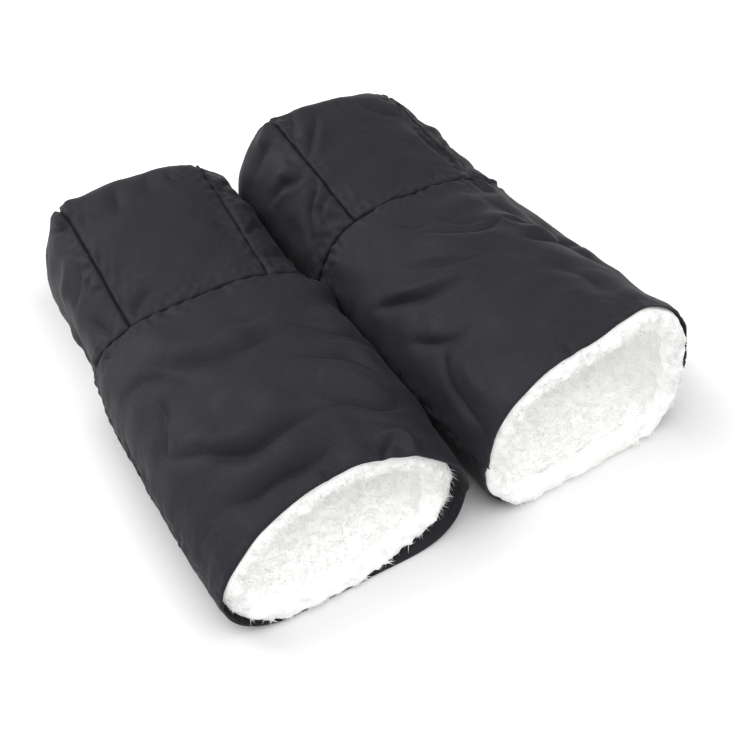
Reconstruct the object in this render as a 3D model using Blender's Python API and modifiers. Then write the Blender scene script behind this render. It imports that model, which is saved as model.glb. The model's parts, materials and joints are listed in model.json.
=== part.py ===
"""A pair of padded hand muffs that fasten over the handlebar of a stroller.

Each muff is a fleece-lined tube for a hand, with a hood, the cap, at its far end. A strip of the shell runs
over the cap, down its end wall and on as the closure flap, which folds under the handlebar and closes with
three press studs on the underside of the body. Two gussets close the cap's sides above a free hem, where the
handlebar enters.

Lengths are metres and +Z is up. A muff's own frame has X across it, Y from the mouth to the cap and its
origin on the floor under the middle of the mouth. Every wall is made of layers that are laid inwards from one
outer surface: the woven shell, the wadding and the fleece lining. The pair stands with the middle of its base
on the world's origin.
"""

import math
from dataclasses import dataclass

import bmesh
import bpy
import numpy as np

# Overall sizes of one muff
MUFF_LENGTH = 0.390
MUFF_WIDTH = 0.204
LEFT_HEIGHT = 0.104
RIGHT_HEIGHT = 0.124
BODY_LENGTH = 0.232
STRIP_WIDTH = 0.120
NOSE_LENGTH = 0.058
BASE_WIDTH = 0.088

# How the pair stands: the gap between the mouths, and how far the right muff's far end is turned in
PAIR_GAP = 0.0025
RIGHT_TURN_IN = 0.0163

# Layers of a wall, and the clearance between touching pieces
SHELL_THICKNESS = 0.0010
WADDING_THICKNESS = 0.0060
LINING_THICKNESS = 0.0050
CLEARANCE = 0.0003

# The mouth: its rolled fleece rim, how far its upper edge is pushed back and how far its lower lip reaches
RIM_RADIUS = 0.0062
RIM_SETBACK = 0.0045
LEFT_BROW_LENGTH = 0.024
LEFT_LIP_LENGTH = 0.009
RIGHT_LIP_LENGTH = 0.008
MOUTH_REACH = 0.090

# The closure flap, from the fold at the foot of the end wall to its tip under the body
HINGE_HEIGHT = 0.0105
HINGE_INSET = 0.0065
HINGE_TAIL_LENGTH = 0.006
FLAP_WIDTH = 0.112
FLAP_LEAD_LENGTH = 0.0015
FLAP_FOLD_LENGTH = 0.020
FLAP_OVERLAP = 0.029
FLAP_TIP_RADIUS = 0.022
FLAP_LINING_THICKNESS = 0.0020
FLAP_LINING_MARGIN = 0.004

# Press studs
STUD_SPACING = 0.032
STUD_EDGE_DISTANCE = 0.0125
STUD_CAP_RADIUS = 0.0062
STUD_CAP_THICKNESS = 0.0010
STUD_CAP_DOME = 0.0004
SOCKET_RADIUS = 0.0055
SOCKET_THICKNESS = 0.0016
SOCKET_FLOOR = 0.0005
SOCKET_BORE_RADIUS = 0.0024
POST_FLANGE_RADIUS = 0.0055
POST_FLANGE_THICKNESS = 0.0008
POST_RADIUS = 0.0019
POST_NECK_RADIUS = 0.0016

# Where the underside leaves the floor, ahead of the flap's tip
RISE_LENGTH = 0.042

# Points nearer than this to each other are merged
MERGE_DISTANCE = 0.00001

# Sections of a muff, at shares of the body's and then of the cap's length. Half widths are shares of half the
# width, first to the muff's left and then to its right. Tops are shares of the height, and the widest level is
# a share of the local top.
BODY_STATION_SHARES = (0.0, 0.26, 0.56, 0.86, 1.0)
CAP_STATION_SHARES = (0.41, 0.80, 1.0)
LEFT_SIDE_SHARES = (
    (0.97, 1.0, 1.0, 0.98, 0.94, 0.90, 0.87, 0.87),
    (0.97, 1.0, 1.0, 0.98, 0.94, 0.91, 0.90, 0.90),
)
RIGHT_SIDE_SHARES = (
    (0.96, 0.966, 0.966, 0.945, 0.93, 0.96, 1.0, 1.0),
    (0.95, 0.966, 0.966, 0.945, 0.92, 0.88, 0.87, 0.87),
)
LEFT_TOP_SHARES = (0.93, 0.98, 0.99, 0.933, 0.875, 0.99, 1.09, 1.11)
RIGHT_TOP_SHARES = (1.145, 1.08, 1.0, 0.935, 0.895, 0.945, 1.0, 1.01)
LEFT_LEAN_SHARES = (-0.16, -0.10, -0.03, 0.0, 0.0, 0.0, 0.0, 0.0)
RIGHT_LEAN_SHARES = (0.08, 0.06, 0.06, 0.10, 0.12, 0.15, 0.16, 0.16)
WIDEST_SHARES = (0.42, 0.42, 0.42, 0.42, 0.42, 0.34, 0.27, 0.26)
LEFT_UPPER_POWERS = (2.1, 2.2, 2.3, 2.4, 2.6, 2.8, 2.8, 2.8)
RIGHT_UPPER_POWERS = (2.6, 2.3, 2.3, 2.4, 2.6, 2.8, 2.8, 2.8)
LOWER_POWER = 2.4
NOSE_POWER = 4.5

# Rows of points along the body, as shares of its length between the rim and the underside's rise
BODY_ROW_SHARES = (0.22, 0.48, 0.74, 1.0)
STRAIGHT_CAP_ROWS = 3
NOSE_ROW_ANGLES = (22.0, 40.0, 55.0, 68.0, 79.0, 87.0)
UPPER_COLUMNS = 14
BASE_COLUMNS = 2
UNDER_SIDE_COLUMNS = 4
STRIP_COLUMNS = 6
GUSSET_COLUMNS = 4
FLAP_COLUMNS = 12
FLAP_FOLD_ROWS = 4
FLAP_FLAT_ROWS = 5
TIP_ARC_POINTS = 6
STUD_COUNT = 3
STUD_SIDES = 12
SLOPE_STEP_SHARE = 0.00002

# Sizes that follow from those above
CAP_LENGTH = MUFF_LENGTH - BODY_LENGTH
NOSE_START = MUFF_LENGTH - NOSE_LENGTH
PAIR_SPACING = MUFF_WIDTH + PAIR_GAP
RIGHT_TURN_ANGLE = math.asin(RIGHT_TURN_IN / MUFF_LENGTH)
HALF_STRIP = STRIP_WIDTH / 2
HALF_BASE = BASE_WIDTH / 2
WADDING_DEPTH = SHELL_THICKNESS + CLEARANCE
LINING_DEPTH = WADDING_DEPTH + WADDING_THICKNESS + CLEARANCE
MOUTH_SLANT = LEFT_BROW_LENGTH / (LEFT_HEIGHT / 2)
PADDING_START = RIM_SETBACK + (RIM_RADIUS + CLEARANCE) * math.hypot(1.0, MOUTH_SLANT)
HINGE_PLACE = MUFF_LENGTH - HINGE_INSET
FLAP_TIP_PLACE = BODY_LENGTH - FLAP_OVERLAP
STUD_PLACE = BODY_LENGTH - STUD_EDGE_DISTANCE
RISE_END = STUD_PLACE - STUD_EDGE_DISTANCE
RISE_START = RISE_END - RISE_LENGTH

# Levels of the closed flap and its studs, from the floor up to the underside of the body
FLAP_LEVEL = STUD_CAP_THICKNESS + CLEARANCE
FLAP_LINING_LEVEL = FLAP_LEVEL + SHELL_THICKNESS + CLEARANCE
SOCKET_LEVEL = FLAP_LINING_LEVEL + FLAP_LINING_THICKNESS + CLEARANCE
POST_LEVEL = SOCKET_LEVEL + SOCKET_THICKNESS + CLEARANCE
UNDERSIDE_RISE = POST_LEVEL + POST_FLANGE_THICKNESS + CLEARANCE


@dataclass(frozen=True)
class Finish:
    """How a piece's material looks: a linear colour, its roughness and how metallic it is."""

    colour: tuple
    roughness: float
    metallic: float = 0.0


WOVEN = Finish((0.042, 0.041, 0.048), 0.62)
FLEECE = Finish((0.80, 0.79, 0.76), 0.95)
FILL = Finish((0.70, 0.70, 0.70), 0.95)
STUD_METAL = Finish((0.05, 0.05, 0.055), 0.35, 0.9)


@dataclass(frozen=True)
class Muff:
    """What sets one muff of the pair apart from the other: its puff, its lean, its mouth and its place."""

    name: str
    height: float
    side_shares: tuple
    top_shares: tuple
    lean_shares: tuple
    upper_powers: tuple
    brow_length: float = 0.0
    lip_length: float = 0.0
    spacing: float = 0.0
    turn_angle: float = 0.0


LEFT = Muff(
    "left",
    LEFT_HEIGHT,
    LEFT_SIDE_SHARES,
    LEFT_TOP_SHARES,
    LEFT_LEAN_SHARES,
    LEFT_UPPER_POWERS,
    brow_length=LEFT_BROW_LENGTH,
    lip_length=LEFT_LIP_LENGTH,
)
RIGHT = Muff(
    "right",
    RIGHT_HEIGHT,
    RIGHT_SIDE_SHARES,
    RIGHT_TOP_SHARES,
    RIGHT_LEAN_SHARES,
    RIGHT_UPPER_POWERS,
    lip_length=RIGHT_LIP_LENGTH,
    spacing=PAIR_SPACING,
    turn_angle=RIGHT_TURN_ANGLE,
)


# Reading the sections


def station_places():
    """The sections' places along a muff, from the mouth to the far end."""
    body = [BODY_LENGTH * share for share in BODY_STATION_SHARES]
    cap = [BODY_LENGTH + CAP_LENGTH * share for share in CAP_STATION_SHARES]
    return np.array(body + cap)


def read_stations(values, y):
    """A section value at y, on a smooth curve through the values at the stations."""
    places = station_places()
    values = np.array(values)
    slopes = np.gradient(values, places)
    low = np.clip(np.searchsorted(places, y, side="right") - 1, 0, len(places) - 2)
    span = places[low + 1] - places[low]
    t = np.clip((y - places[low]) / span, 0.0, 1.0)
    start = values[low] * (1 + 2 * t) * (1 - t) ** 2 + slopes[low] * span * t * (1 - t) ** 2
    end = values[low + 1] * t**2 * (3 - 2 * t) - slopes[low + 1] * span * t**2 * (1 - t)
    return start + end


def half_width(muff, y, side):
    """The muff's reach from its middle at y, to its left where side is negative and to its right elsewhere."""
    left, right = (read_stations(shares, y) for shares in muff.side_shares)
    return MUFF_WIDTH / 2 * np.where(np.asarray(side) < 0.0, left, right)


def top_height(muff, y):
    """The height of the muff's top at y."""
    return muff.height * read_stations(muff.top_shares, y)


def widest_height(muff, y):
    """The height at which the muff is widest, which is the hem's height on the cap."""
    return top_height(muff, y) * read_stations(WIDEST_SHARES, y)


def crown_height(muff, x, y):
    """How far the top stands above the widest level, less on the side that a muff leans to."""
    lean = read_stations(muff.lean_shares, y) * x / half_width(muff, y, x)
    return (top_height(muff, y) - widest_height(muff, y)) * (1.0 - lean)


def underside_height(y):
    """The underside's height: on the floor, then raised over the flap's tip."""
    share = np.clip((y - RISE_START) / RISE_LENGTH, 0.0, 1.0)
    return UNDERSIDE_RISE * share


def nose_share(y):
    """How far along the cap's rounded nose y is, from 0 at its start to 1 at the far end."""
    return np.clip((y - NOSE_START) / NOSE_LENGTH, 0.0, None)


def nose_shrink(muff, y):
    """How much smaller a section of the nose is than the straight cap."""
    power = read_stations(muff.upper_powers, y)
    return np.clip(1.0 - nose_share(y) ** NOSE_POWER, 0.0, 1.0) ** (1.0 / power)


def upper_level(muff, x, y, z):
    """1 on the outer surface of the upper side, more outside it."""
    power = read_stations(muff.upper_powers, y)
    across = np.abs(x / half_width(muff, y, x)) ** power
    up = np.abs((z - widest_height(muff, y)) / crown_height(muff, x, y)) ** power
    return across + up + nose_share(y) ** NOSE_POWER


def under_level(muff, x, y, z):
    """1 on the outer surface of the underside, more outside it."""
    side = np.clip((np.abs(x) - HALF_BASE) / (half_width(muff, y, x) - HALF_BASE), 0.0, None)
    widest = widest_height(muff, y)
    down = np.abs((widest - z) / (widest - underside_height(y)))
    return side**LOWER_POWER + down**LOWER_POWER


def outward(muff, points, level):
    """The outward unit directions at points of a surface, from the slope of its level."""
    step = MUFF_LENGTH * SLOPE_STEP_SHARE
    x, y, z = np.moveaxis(points, -1, 0)
    slope_x = level(muff, x + step, y, z) - level(muff, x - step, y, z)
    slope_y = level(muff, x, y + step, z) - level(muff, x, y - step, z)
    slope_z = level(muff, x, y, z + step) - level(muff, x, y, z - step)
    slopes = np.stack([slope_x, slope_y, slope_z], axis=-1)
    return slopes / np.linalg.norm(slopes, axis=-1, keepdims=True)


# Rows of points on the outer surface


def upper_row(muff, y, angles):
    """Points across the upper side at y, by their angle round the section."""
    power = read_stations(muff.upper_powers, y)
    shrink = nose_shrink(muff, y)
    cosines = np.cos(angles)
    x = half_width(muff, y, cosines) * shrink * np.sign(cosines) * np.abs(cosines) ** (2.0 / power)
    rise = shrink * np.abs(np.sin(angles)) ** (2.0 / power)
    z = widest_height(muff, y) + crown_height(muff, x, y) * rise
    return np.stack([x, np.full_like(x, y), z], axis=-1)


def under_row(muff, y):
    """Points across the underside at y: a flat base between two round sides."""
    angles = np.linspace(0.0, math.pi / 2, UNDER_SIDE_COLUMNS + 1)
    right_x, left_x = (
        HALF_BASE + (half_width(muff, y, side) - HALF_BASE) * np.abs(np.cos(angles)) ** (2.0 / LOWER_POWER)
        for side in (1, -1)
    )
    widest = widest_height(muff, y)
    drop = widest - underside_height(y)
    side_z = widest - drop * np.abs(np.sin(angles)) ** (2.0 / LOWER_POWER)
    side_z[0] -= CLEARANCE / 2
    base_x = np.linspace(HALF_BASE, -HALF_BASE, BASE_COLUMNS + 1)[1:-1]
    x = np.concatenate([right_x, base_x, -left_x[::-1]])
    z = np.concatenate([side_z, np.full_like(base_x, side_z[-1]), side_z[::-1]])
    return np.stack([x, np.full_like(x, y), z], axis=-1)


def body_upper_row(muff, y):
    """Points across the body's upper side at y, from its right side seam to its left one."""
    row = upper_row(muff, y, np.linspace(0.0, math.pi, UPPER_COLUMNS + 1))
    row[0, 2] += CLEARANCE / 2
    row[-1, 2] += CLEARANCE / 2
    return row


def strip_edge_place(muff, angle, side):
    """Where one edge of the strip crosses the nose, at an angle from straight up to straight back."""
    y = NOSE_START
    for _ in range(4):
        power = read_stations(muff.upper_powers, y)
        left_over = 1.0 - (HALF_STRIP / half_width(muff, y, side)) ** power
        y = NOSE_START + NOSE_LENGTH * (left_over * math.sin(angle) ** 2) ** (1.0 / NOSE_POWER)
    return y


def strip_row(muff, x, y=None, angle=None):
    """Points of the strip at the given X: straight across at y, or round the nose at an angle."""
    if angle is None:
        places = np.full_like(x, y)
    else:
        places = np.full_like(x, NOSE_START)
        for _ in range(4):
            power = read_stations(muff.upper_powers, places)
            left_over = 1.0 - np.abs(x / half_width(muff, places, x)) ** power
            share = (left_over * math.sin(angle) ** 2) ** (1.0 / NOSE_POWER)
            places = NOSE_START + NOSE_LENGTH * share
    power = read_stations(muff.upper_powers, places)
    across = np.abs(x / half_width(muff, places, x)) ** power
    left_over = np.clip(1.0 - across - nose_share(places) ** NOSE_POWER, 0.0, 1.0)
    z = widest_height(muff, places) + crown_height(muff, x, places) * left_over ** (1.0 / power)
    return np.stack([x, places, z], axis=-1)


def gusset_row(muff, y, side):
    """Points of a gusset at y, from the strip's edge down to the hem."""
    power = float(read_stations(muff.upper_powers, y))
    reach = float(half_width(muff, y, side) * nose_shrink(muff, y))
    start = math.acos(min(1.0, (HALF_STRIP / reach) ** (power / 2)))
    angles = np.linspace(start, 0.0, GUSSET_COLUMNS + 1)
    if side < 0:
        angles = math.pi - angles
    return upper_row(muff, y, angles)


def straight_cap_places():
    """The places of the cap's rows ahead of its nose."""
    start = BODY_LENGTH + CLEARANCE / 2
    return np.linspace(start, NOSE_START, STRAIGHT_CAP_ROWS + 1)


def draw_mouth(muff, grid, upper):
    """Pushes the mouth's upper edge back by the muff's brow, or draws its lower edge forward by its lip."""
    x, y, z = np.moveaxis(grid, -1, 0)
    widest = widest_height(muff, y)
    if upper:
        reach = muff.brow_length * np.clip((z - widest) / crown_height(muff, x, y), 0.0, 1.0) ** 2
    else:
        reach = -muff.lip_length * np.clip((widest - z) / (widest - underside_height(y)), 0.0, 1.0) ** 2
    fade = 1.0 - np.clip((y - PADDING_START) / MOUTH_REACH, 0.0, 1.0)
    drawn = grid.copy()
    drawn[..., 1] += reach * fade**2
    return drawn


# Grids of points and their outward directions


def body_places(start):
    """The places of the body's rows, from the given start to the cross seam."""
    between = [PADDING_START + (RISE_START - PADDING_START) * share for share in BODY_ROW_SHARES]
    front = [start] if start < PADDING_START else []
    return front + [PADDING_START] + between + [RISE_END, BODY_LENGTH - CLEARANCE / 2]


def body_upper_grid(muff, start):
    """The body's upper side, with the mouth's edge pushed back."""
    grid = np.array([body_upper_row(muff, y) for y in body_places(start)])
    return draw_mouth(muff, grid, True), outward(muff, grid, upper_level)


def body_under_grid(muff, start):
    """The body's underside, with the mouth's edge drawn forward."""
    grid = np.array([under_row(muff, y) for y in body_places(start)])
    return draw_mouth(muff, grid, False), outward(muff, grid, under_level)


def cap_grids(muff):
    """The cap's strip and its two gussets, as three grids that share their rows."""
    strip_x = np.linspace(HALF_STRIP, -HALF_STRIP, STRIP_COLUMNS + 1)
    strip, right, left = [], [], []
    for y in straight_cap_places():
        strip.append(strip_row(muff, strip_x, y=y))
        right.append(gusset_row(muff, y, 1)[::-1])
        left.append(gusset_row(muff, y, -1))
    for degrees in NOSE_ROW_ANGLES:
        angle = math.radians(degrees)
        strip.append(strip_row(muff, strip_x, angle=angle))
        right.append(gusset_row(muff, strip_edge_place(muff, angle, 1), 1)[::-1])
        left.append(gusset_row(muff, strip_edge_place(muff, angle, -1), -1))
    return np.array(strip), np.array(right), np.array(left)


def hood_grid(muff):
    """The whole hood in one piece, from the right hem over the strip to the left hem."""
    strip, right, left = cap_grids(muff)
    grid = np.concatenate([right, strip[:, 1:-1], left], axis=1)
    return grid, outward(muff, grid, upper_level)


def end_wall_rows(muff, strip_x):
    """The strip's rows down the foot of the end wall, to the fold that the flap hangs on."""
    foot = strip_row(muff, strip_x, angle=math.pi / 2)
    level = np.full_like(strip_x, HINGE_HEIGHT)
    tail = np.stack([strip_x, np.full_like(strip_x, HINGE_PLACE), level], axis=-1)
    knee = tail.copy()
    knee[:, 2] += HINGE_TAIL_LENGTH
    return np.array([foot, knee, tail])


# Making objects


def clear_scene():
    """Removes what a new file starts with."""
    for thing in list(bpy.data.objects):
        bpy.data.objects.remove(thing, do_unlink=True)


def new_collection(name):
    """A collection linked to the scene."""
    collection = bpy.data.collections.new(name)
    bpy.context.scene.collection.children.link(collection)
    return collection


def dress(thing, finish):
    """Gives a piece its own material, on the object where several pieces share a mesh."""
    material = bpy.data.materials.new(thing.name + "_finish")
    material.use_nodes = True
    shader = material.node_tree.nodes["Principled BSDF"]
    shader.inputs["Base Color"].default_value = (*finish.colour, 1.0)
    shader.inputs["Roughness"].default_value = finish.roughness
    shader.inputs["Metallic"].default_value = finish.metallic
    material.diffuse_color = (*finish.colour, 1.0)
    if not thing.data.materials:
        thing.data.materials.append(None)
    thing.material_slots[0].link = "OBJECT"
    thing.material_slots[0].material = material


def add_piece(name, data, finish, parent, offset=(0.0, 0.0, 0.0)):
    """Puts a mesh or a curve into the scene as a named piece on its parent."""
    thing = bpy.data.objects.new(name, data)
    PIECES.objects.link(thing)
    thing.parent = parent
    thing.location = offset
    dress(thing, finish)
    return thing


def add_empty(name, location, turn_angle=0.0, parent=None):
    """An empty that carries pieces."""
    empty = bpy.data.objects.new(name, None)
    PIECES.objects.link(empty)
    empty.parent = parent
    empty.location = location
    empty.rotation_euler = (0.0, 0.0, turn_angle)
    return empty


def layer_mesh(name, grid, directions, depth, thickness):
    """A closed layer of a wall, laid inwards from the outer surface.

    Both skins are split along the same diagonals, so that neighbouring layers keep their clearance.
    """
    outer = grid - directions * depth
    inner = grid - directions * (depth + thickness)
    rows, columns = grid.shape[:2]
    shape = bmesh.new()
    skins = []
    for skin in (outer, inner):
        skins.append([[shape.verts.new(point) for point in row] for row in skin])
    for row in range(rows - 1):
        for column in range(columns - 1):
            corners = ((row, column), (row, column + 1), (row + 1, column + 1), (row + 1, column))
            shape.faces.new([skins[0][i][j] for i, j in corners])
            shape.faces.new([skins[1][i][j] for i, j in (corners[0], *corners[:0:-1])])
    last_row, last_column = rows - 1, columns - 1
    rim = [(0, j) for j in range(last_column)]
    rim += [(i, last_column) for i in range(last_row)]
    rim += [(last_row, j) for j in range(last_column, 0, -1)]
    rim += [(i, 0) for i in range(last_row, 0, -1)]
    for here, there in zip(rim, rim[1:] + rim[:1]):
        edge = [skins[0][here[0]][here[1]], skins[0][there[0]][there[1]]]
        edge += [skins[1][there[0]][there[1]], skins[1][here[0]][here[1]]]
        shape.faces.new(edge)
    bmesh.ops.triangulate(shape, faces=shape.faces[:], quad_method="FIXED")
    bmesh.ops.recalc_face_normals(shape, faces=shape.faces[:])
    mesh = bpy.data.meshes.new(name)
    shape.to_mesh(mesh)
    shape.free()
    mesh.shade_smooth()
    mesh.set_sharp_from_angle(angle=math.radians(50.0))
    return mesh


def add_layer(muff, name, surface, depth, thickness, finish, parent):
    """A layer of a wall as a piece of the muff."""
    full_name = f"{muff.name}_{name}"
    grid, directions = surface
    mesh = layer_mesh(full_name, grid, directions, depth, thickness)
    return add_piece(full_name, mesh, finish, parent)


def give_way(grid, column, inwards):
    """A copy of a grid with one column half a clearance nearer to the muff's middle, or away from it."""
    moved = grid.copy()
    moved[:, column, 0] -= np.sign(grid[:, column, 0]) * inwards * CLEARANCE / 2
    return moved


# Sub-assemblies


def add_body(muff, frame):
    """The tube for the hand: an upper and an under wall of three layers each."""
    for side, make_grid in (("upper", body_upper_grid), ("under", body_under_grid)):
        shell = make_grid(muff, 0.0)
        padding = make_grid(muff, PADDING_START)
        add_layer(muff, f"body_{side}_panel", shell, 0.0, SHELL_THICKNESS, WOVEN, frame)
        add_layer(muff, f"body_{side}_wadding", padding, WADDING_DEPTH, WADDING_THICKNESS, FILL, frame)
        add_layer(muff, f"body_{side}_lining", padding, LINING_DEPTH, LINING_THICKNESS, FLEECE, frame)


def add_cap(muff, frame):
    """The hood: its strip and gussets outside, its wadding and fleece inside."""
    strip, right, left = cap_grids(muff)
    strip_x = strip[0, :, 0]
    strip_directions = outward(muff, strip, upper_level)
    foot = end_wall_rows(muff, strip_x)
    foot_directions = np.zeros_like(foot)
    foot_directions[..., 1] = 1.0
    strip = np.concatenate([strip, foot])
    strip_directions = np.concatenate([strip_directions, foot_directions])
    panel = (give_way(give_way(strip, 0, 1), -1, 1), strip_directions)
    add_layer(muff, "cap_top_panel", panel, 0.0, SHELL_THICKNESS, WOVEN, frame)
    for side, grid, edge in (("right", right, -1), ("left", left, 0)):
        directions = outward(muff, grid, upper_level)
        gusset = (give_way(grid, edge, -1), directions)
        add_layer(muff, f"cap_{side}_gusset", gusset, 0.0, SHELL_THICKNESS, WOVEN, frame)
    hood = hood_grid(muff)
    add_layer(muff, "cap_wadding", hood, WADDING_DEPTH, WADDING_THICKNESS, FILL, frame)
    add_layer(muff, "cap_lining", hood, LINING_DEPTH, LINING_THICKNESS, FLEECE, frame)


def add_rim(muff, frame):
    """The rolled fleece edge: a tube just inside the shell's edge, all round the mouth."""
    upper = body_upper_row(muff, RIM_SETBACK)[None]
    under = under_row(muff, RIM_SETBACK)[None]
    upper_directions = outward(muff, upper, upper_level)[0]
    under_directions = outward(muff, under, under_level)[0]
    depth = SHELL_THICKNESS + CLEARANCE + RIM_RADIUS
    upper_path = draw_mouth(muff, upper, True)[0] - upper_directions * depth
    under_path = draw_mouth(muff, under, False)[0] - under_directions * depth
    path = np.concatenate([upper_path, under_path[::-1][1:-1]])
    curve = bpy.data.curves.new(f"{muff.name}_mouth_rim", "CURVE")
    curve.dimensions = "3D"
    curve.bevel_depth = RIM_RADIUS
    curve.bevel_resolution = 2
    spline = curve.splines.new("POLY")
    spline.points.add(len(path) - 1)
    for point, place in zip(spline.points, path):
        point.co = (*place, 1.0)
    spline.use_cyclic_u = True
    add_piece(curve.name, curve, FLEECE, frame)


def flap_tip_place(x, half, radius):
    """Where the flap ends at X: straight, with a round corner at each side."""
    into_corner = np.clip((np.abs(x) - (half - radius)) / radius, 0.0, 1.0)
    return FLAP_TIP_PLACE + radius * (1.0 - math.sqrt(1.0 - into_corner**2))


def flap_point(across, row):
    """A point of the flap's outer face at a share of its half width, by its row from the hinge to the tip."""
    half = FLAP_WIDTH / 2
    x = half * across
    start = HINGE_PLACE - CLEARANCE
    if row == 0:
        return x, start, HINGE_HEIGHT - CLEARANCE
    fold_top = HINGE_HEIGHT - CLEARANCE - FLAP_LEAD_LENGTH
    if row < FLAP_FOLD_ROWS + 1:
        angle = (row - 1) / FLAP_FOLD_ROWS * math.pi / 2
        y = start - FLAP_FOLD_LENGTH * (1.0 - math.cos(angle))
        return x, y, FLAP_LEVEL + (fold_top - FLAP_LEVEL) * (1.0 - math.sin(angle))
    share = (row - 1 - FLAP_FOLD_ROWS) / FLAP_FLAT_ROWS
    fold_end = start - FLAP_FOLD_LENGTH
    y = fold_end + (flap_tip_place(x, half, FLAP_TIP_RADIUS) - fold_end) * share
    return x, y, FLAP_LEVEL


def add_flap_shell(muff, hinge, offset):
    """The woven flap: one sheet, folded forward at the foot of the end wall."""
    shape = bmesh.new()
    rows = 1 + FLAP_FOLD_ROWS + FLAP_FLAT_ROWS
    bmesh.ops.create_grid(shape, x_segments=FLAP_COLUMNS, y_segments=rows, size=1.0)
    for vert in shape.verts:
        vert.co = flap_point(vert.co.x, round((vert.co.y + 1.0) / 2.0 * rows))
    mesh = bpy.data.meshes.new(f"{muff.name}_closure_flap")
    shape.to_mesh(mesh)
    shape.free()
    flap = add_piece(mesh.name, mesh, WOVEN, hinge, offset)
    wall = flap.modifiers.new("Wall", "SOLIDIFY")
    wall.thickness = SHELL_THICKNESS
    wall.offset = -1.0


def add_flap_lining(muff, hinge, offset):
    """The fleece on the flap's inner face: a flat piece with round corners at the tip."""
    half = FLAP_WIDTH / 2 - FLAP_LINING_MARGIN
    radius = FLAP_TIP_RADIUS - FLAP_LINING_MARGIN
    back = HINGE_PLACE - CLEARANCE - FLAP_FOLD_LENGTH - FLAP_LINING_MARGIN
    front = FLAP_TIP_PLACE + FLAP_LINING_MARGIN
    outline = [(half, back), (-half, back)]
    for side in (-1, 1):
        turns = np.linspace(0.0, math.pi / 2, TIP_ARC_POINTS)[::-side]
        for turn in turns:
            x = side * (half - radius + radius * math.cos(turn))
            outline.append((x, front + radius - radius * math.sin(turn)))
    curve = bpy.data.curves.new(f"{muff.name}_closure_flap_lining", "CURVE")
    curve.dimensions = "2D"
    curve.fill_mode = "BOTH"
    curve.extrude = FLAP_LINING_THICKNESS / 2
    spline = curve.splines.new("POLY")
    spline.points.add(len(outline) - 1)
    for point, place in zip(spline.points, outline):
        point.co = (*place, 0.0, 1.0)
    spline.use_cyclic_u = True
    middle = FLAP_LINING_LEVEL + FLAP_LINING_THICKNESS / 2
    add_piece(curve.name, curve, FLEECE, hinge, (offset[0], offset[1], offset[2] + middle))


def add_stud_row(muff, name, profile, parent, offset):
    """A row of equal turned pieces across the muff, from one profile of radius and level."""
    mesh = bpy.data.meshes.new(f"{muff.name}_{name}")
    points = [(radius, 0.0, level) for radius, level in profile]
    edges = [(i, i + 1) for i in range(len(points) - 1)]
    mesh.from_pydata(points, edges, [])
    for number in range(STUD_COUNT):
        across = STUD_SPACING * (number - (STUD_COUNT - 1) / 2)
        place = (offset[0] + across, offset[1] + STUD_PLACE, offset[2])
        stud = add_piece(f"{muff.name}_{name}_{number + 1}", mesh, STUD_METAL, parent, place)
        turned = stud.modifiers.new("Turned", "SCREW")
        turned.steps = STUD_SIDES
        turned.render_steps = STUD_SIDES
        turned.use_merge_vertices = True
        turned.merge_threshold = MERGE_DISTANCE


def stud_cap_profile():
    """A low cap, domed towards the floor."""
    return [
        (0.0, STUD_CAP_THICKNESS),
        (STUD_CAP_RADIUS, STUD_CAP_THICKNESS),
        (STUD_CAP_RADIUS, STUD_CAP_DOME),
        (STUD_CAP_RADIUS - STUD_CAP_DOME * 2, 0.0),
        (0.0, 0.0),
    ]


def socket_profile():
    """A ring with a floor, open upwards for the post."""
    floor = SOCKET_LEVEL + SOCKET_FLOOR
    top = SOCKET_LEVEL + SOCKET_THICKNESS
    return [
        (0.0, floor),
        (SOCKET_BORE_RADIUS, floor),
        (SOCKET_BORE_RADIUS, top),
        (SOCKET_RADIUS - SOCKET_FLOOR, top),
        (SOCKET_RADIUS, top - SOCKET_FLOOR),
        (SOCKET_RADIUS, SOCKET_LEVEL),
        (0.0, SOCKET_LEVEL),
    ]


def post_profile():
    """A flange under the body with a necked post, which seats in the socket."""
    top = POST_LEVEL + POST_FLANGE_THICKNESS
    tip = SOCKET_LEVEL + SOCKET_FLOOR + CLEARANCE
    bulb = (POST_LEVEL + tip) / 2
    return [
        (0.0, top),
        (POST_FLANGE_RADIUS, top),
        (POST_FLANGE_RADIUS, POST_LEVEL),
        (POST_NECK_RADIUS, POST_LEVEL),
        (POST_RADIUS, bulb),
        (POST_NECK_RADIUS, tip),
        (0.0, tip),
    ]


def add_closure(muff, frame):
    """The closure flap on its hinge, and the press studs on it and on the body."""
    place = (0.0, HINGE_PLACE, HINGE_HEIGHT)
    hinge = add_empty(f"{muff.name}_flap_hinge", place, parent=frame)
    back_to_muff = (0.0, -HINGE_PLACE, -HINGE_HEIGHT)
    add_flap_shell(muff, hinge, back_to_muff)
    add_flap_lining(muff, hinge, back_to_muff)
    add_stud_row(muff, "flap_stud_cap", stud_cap_profile(), hinge, back_to_muff)
    add_stud_row(muff, "flap_stud_socket", socket_profile(), hinge, back_to_muff)
    add_stud_row(muff, "body_stud_post", post_profile(), frame, (0.0, 0.0, 0.0))


def add_muff(muff):
    """One whole muff on an empty at the middle of its mouth."""
    frame = add_empty(f"{muff.name}_muff", (muff.spacing, 0.0, 0.0), muff.turn_angle)
    add_body(muff, frame)
    add_cap(muff, frame)
    add_rim(muff, frame)
    add_closure(muff, frame)
    return frame


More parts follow.
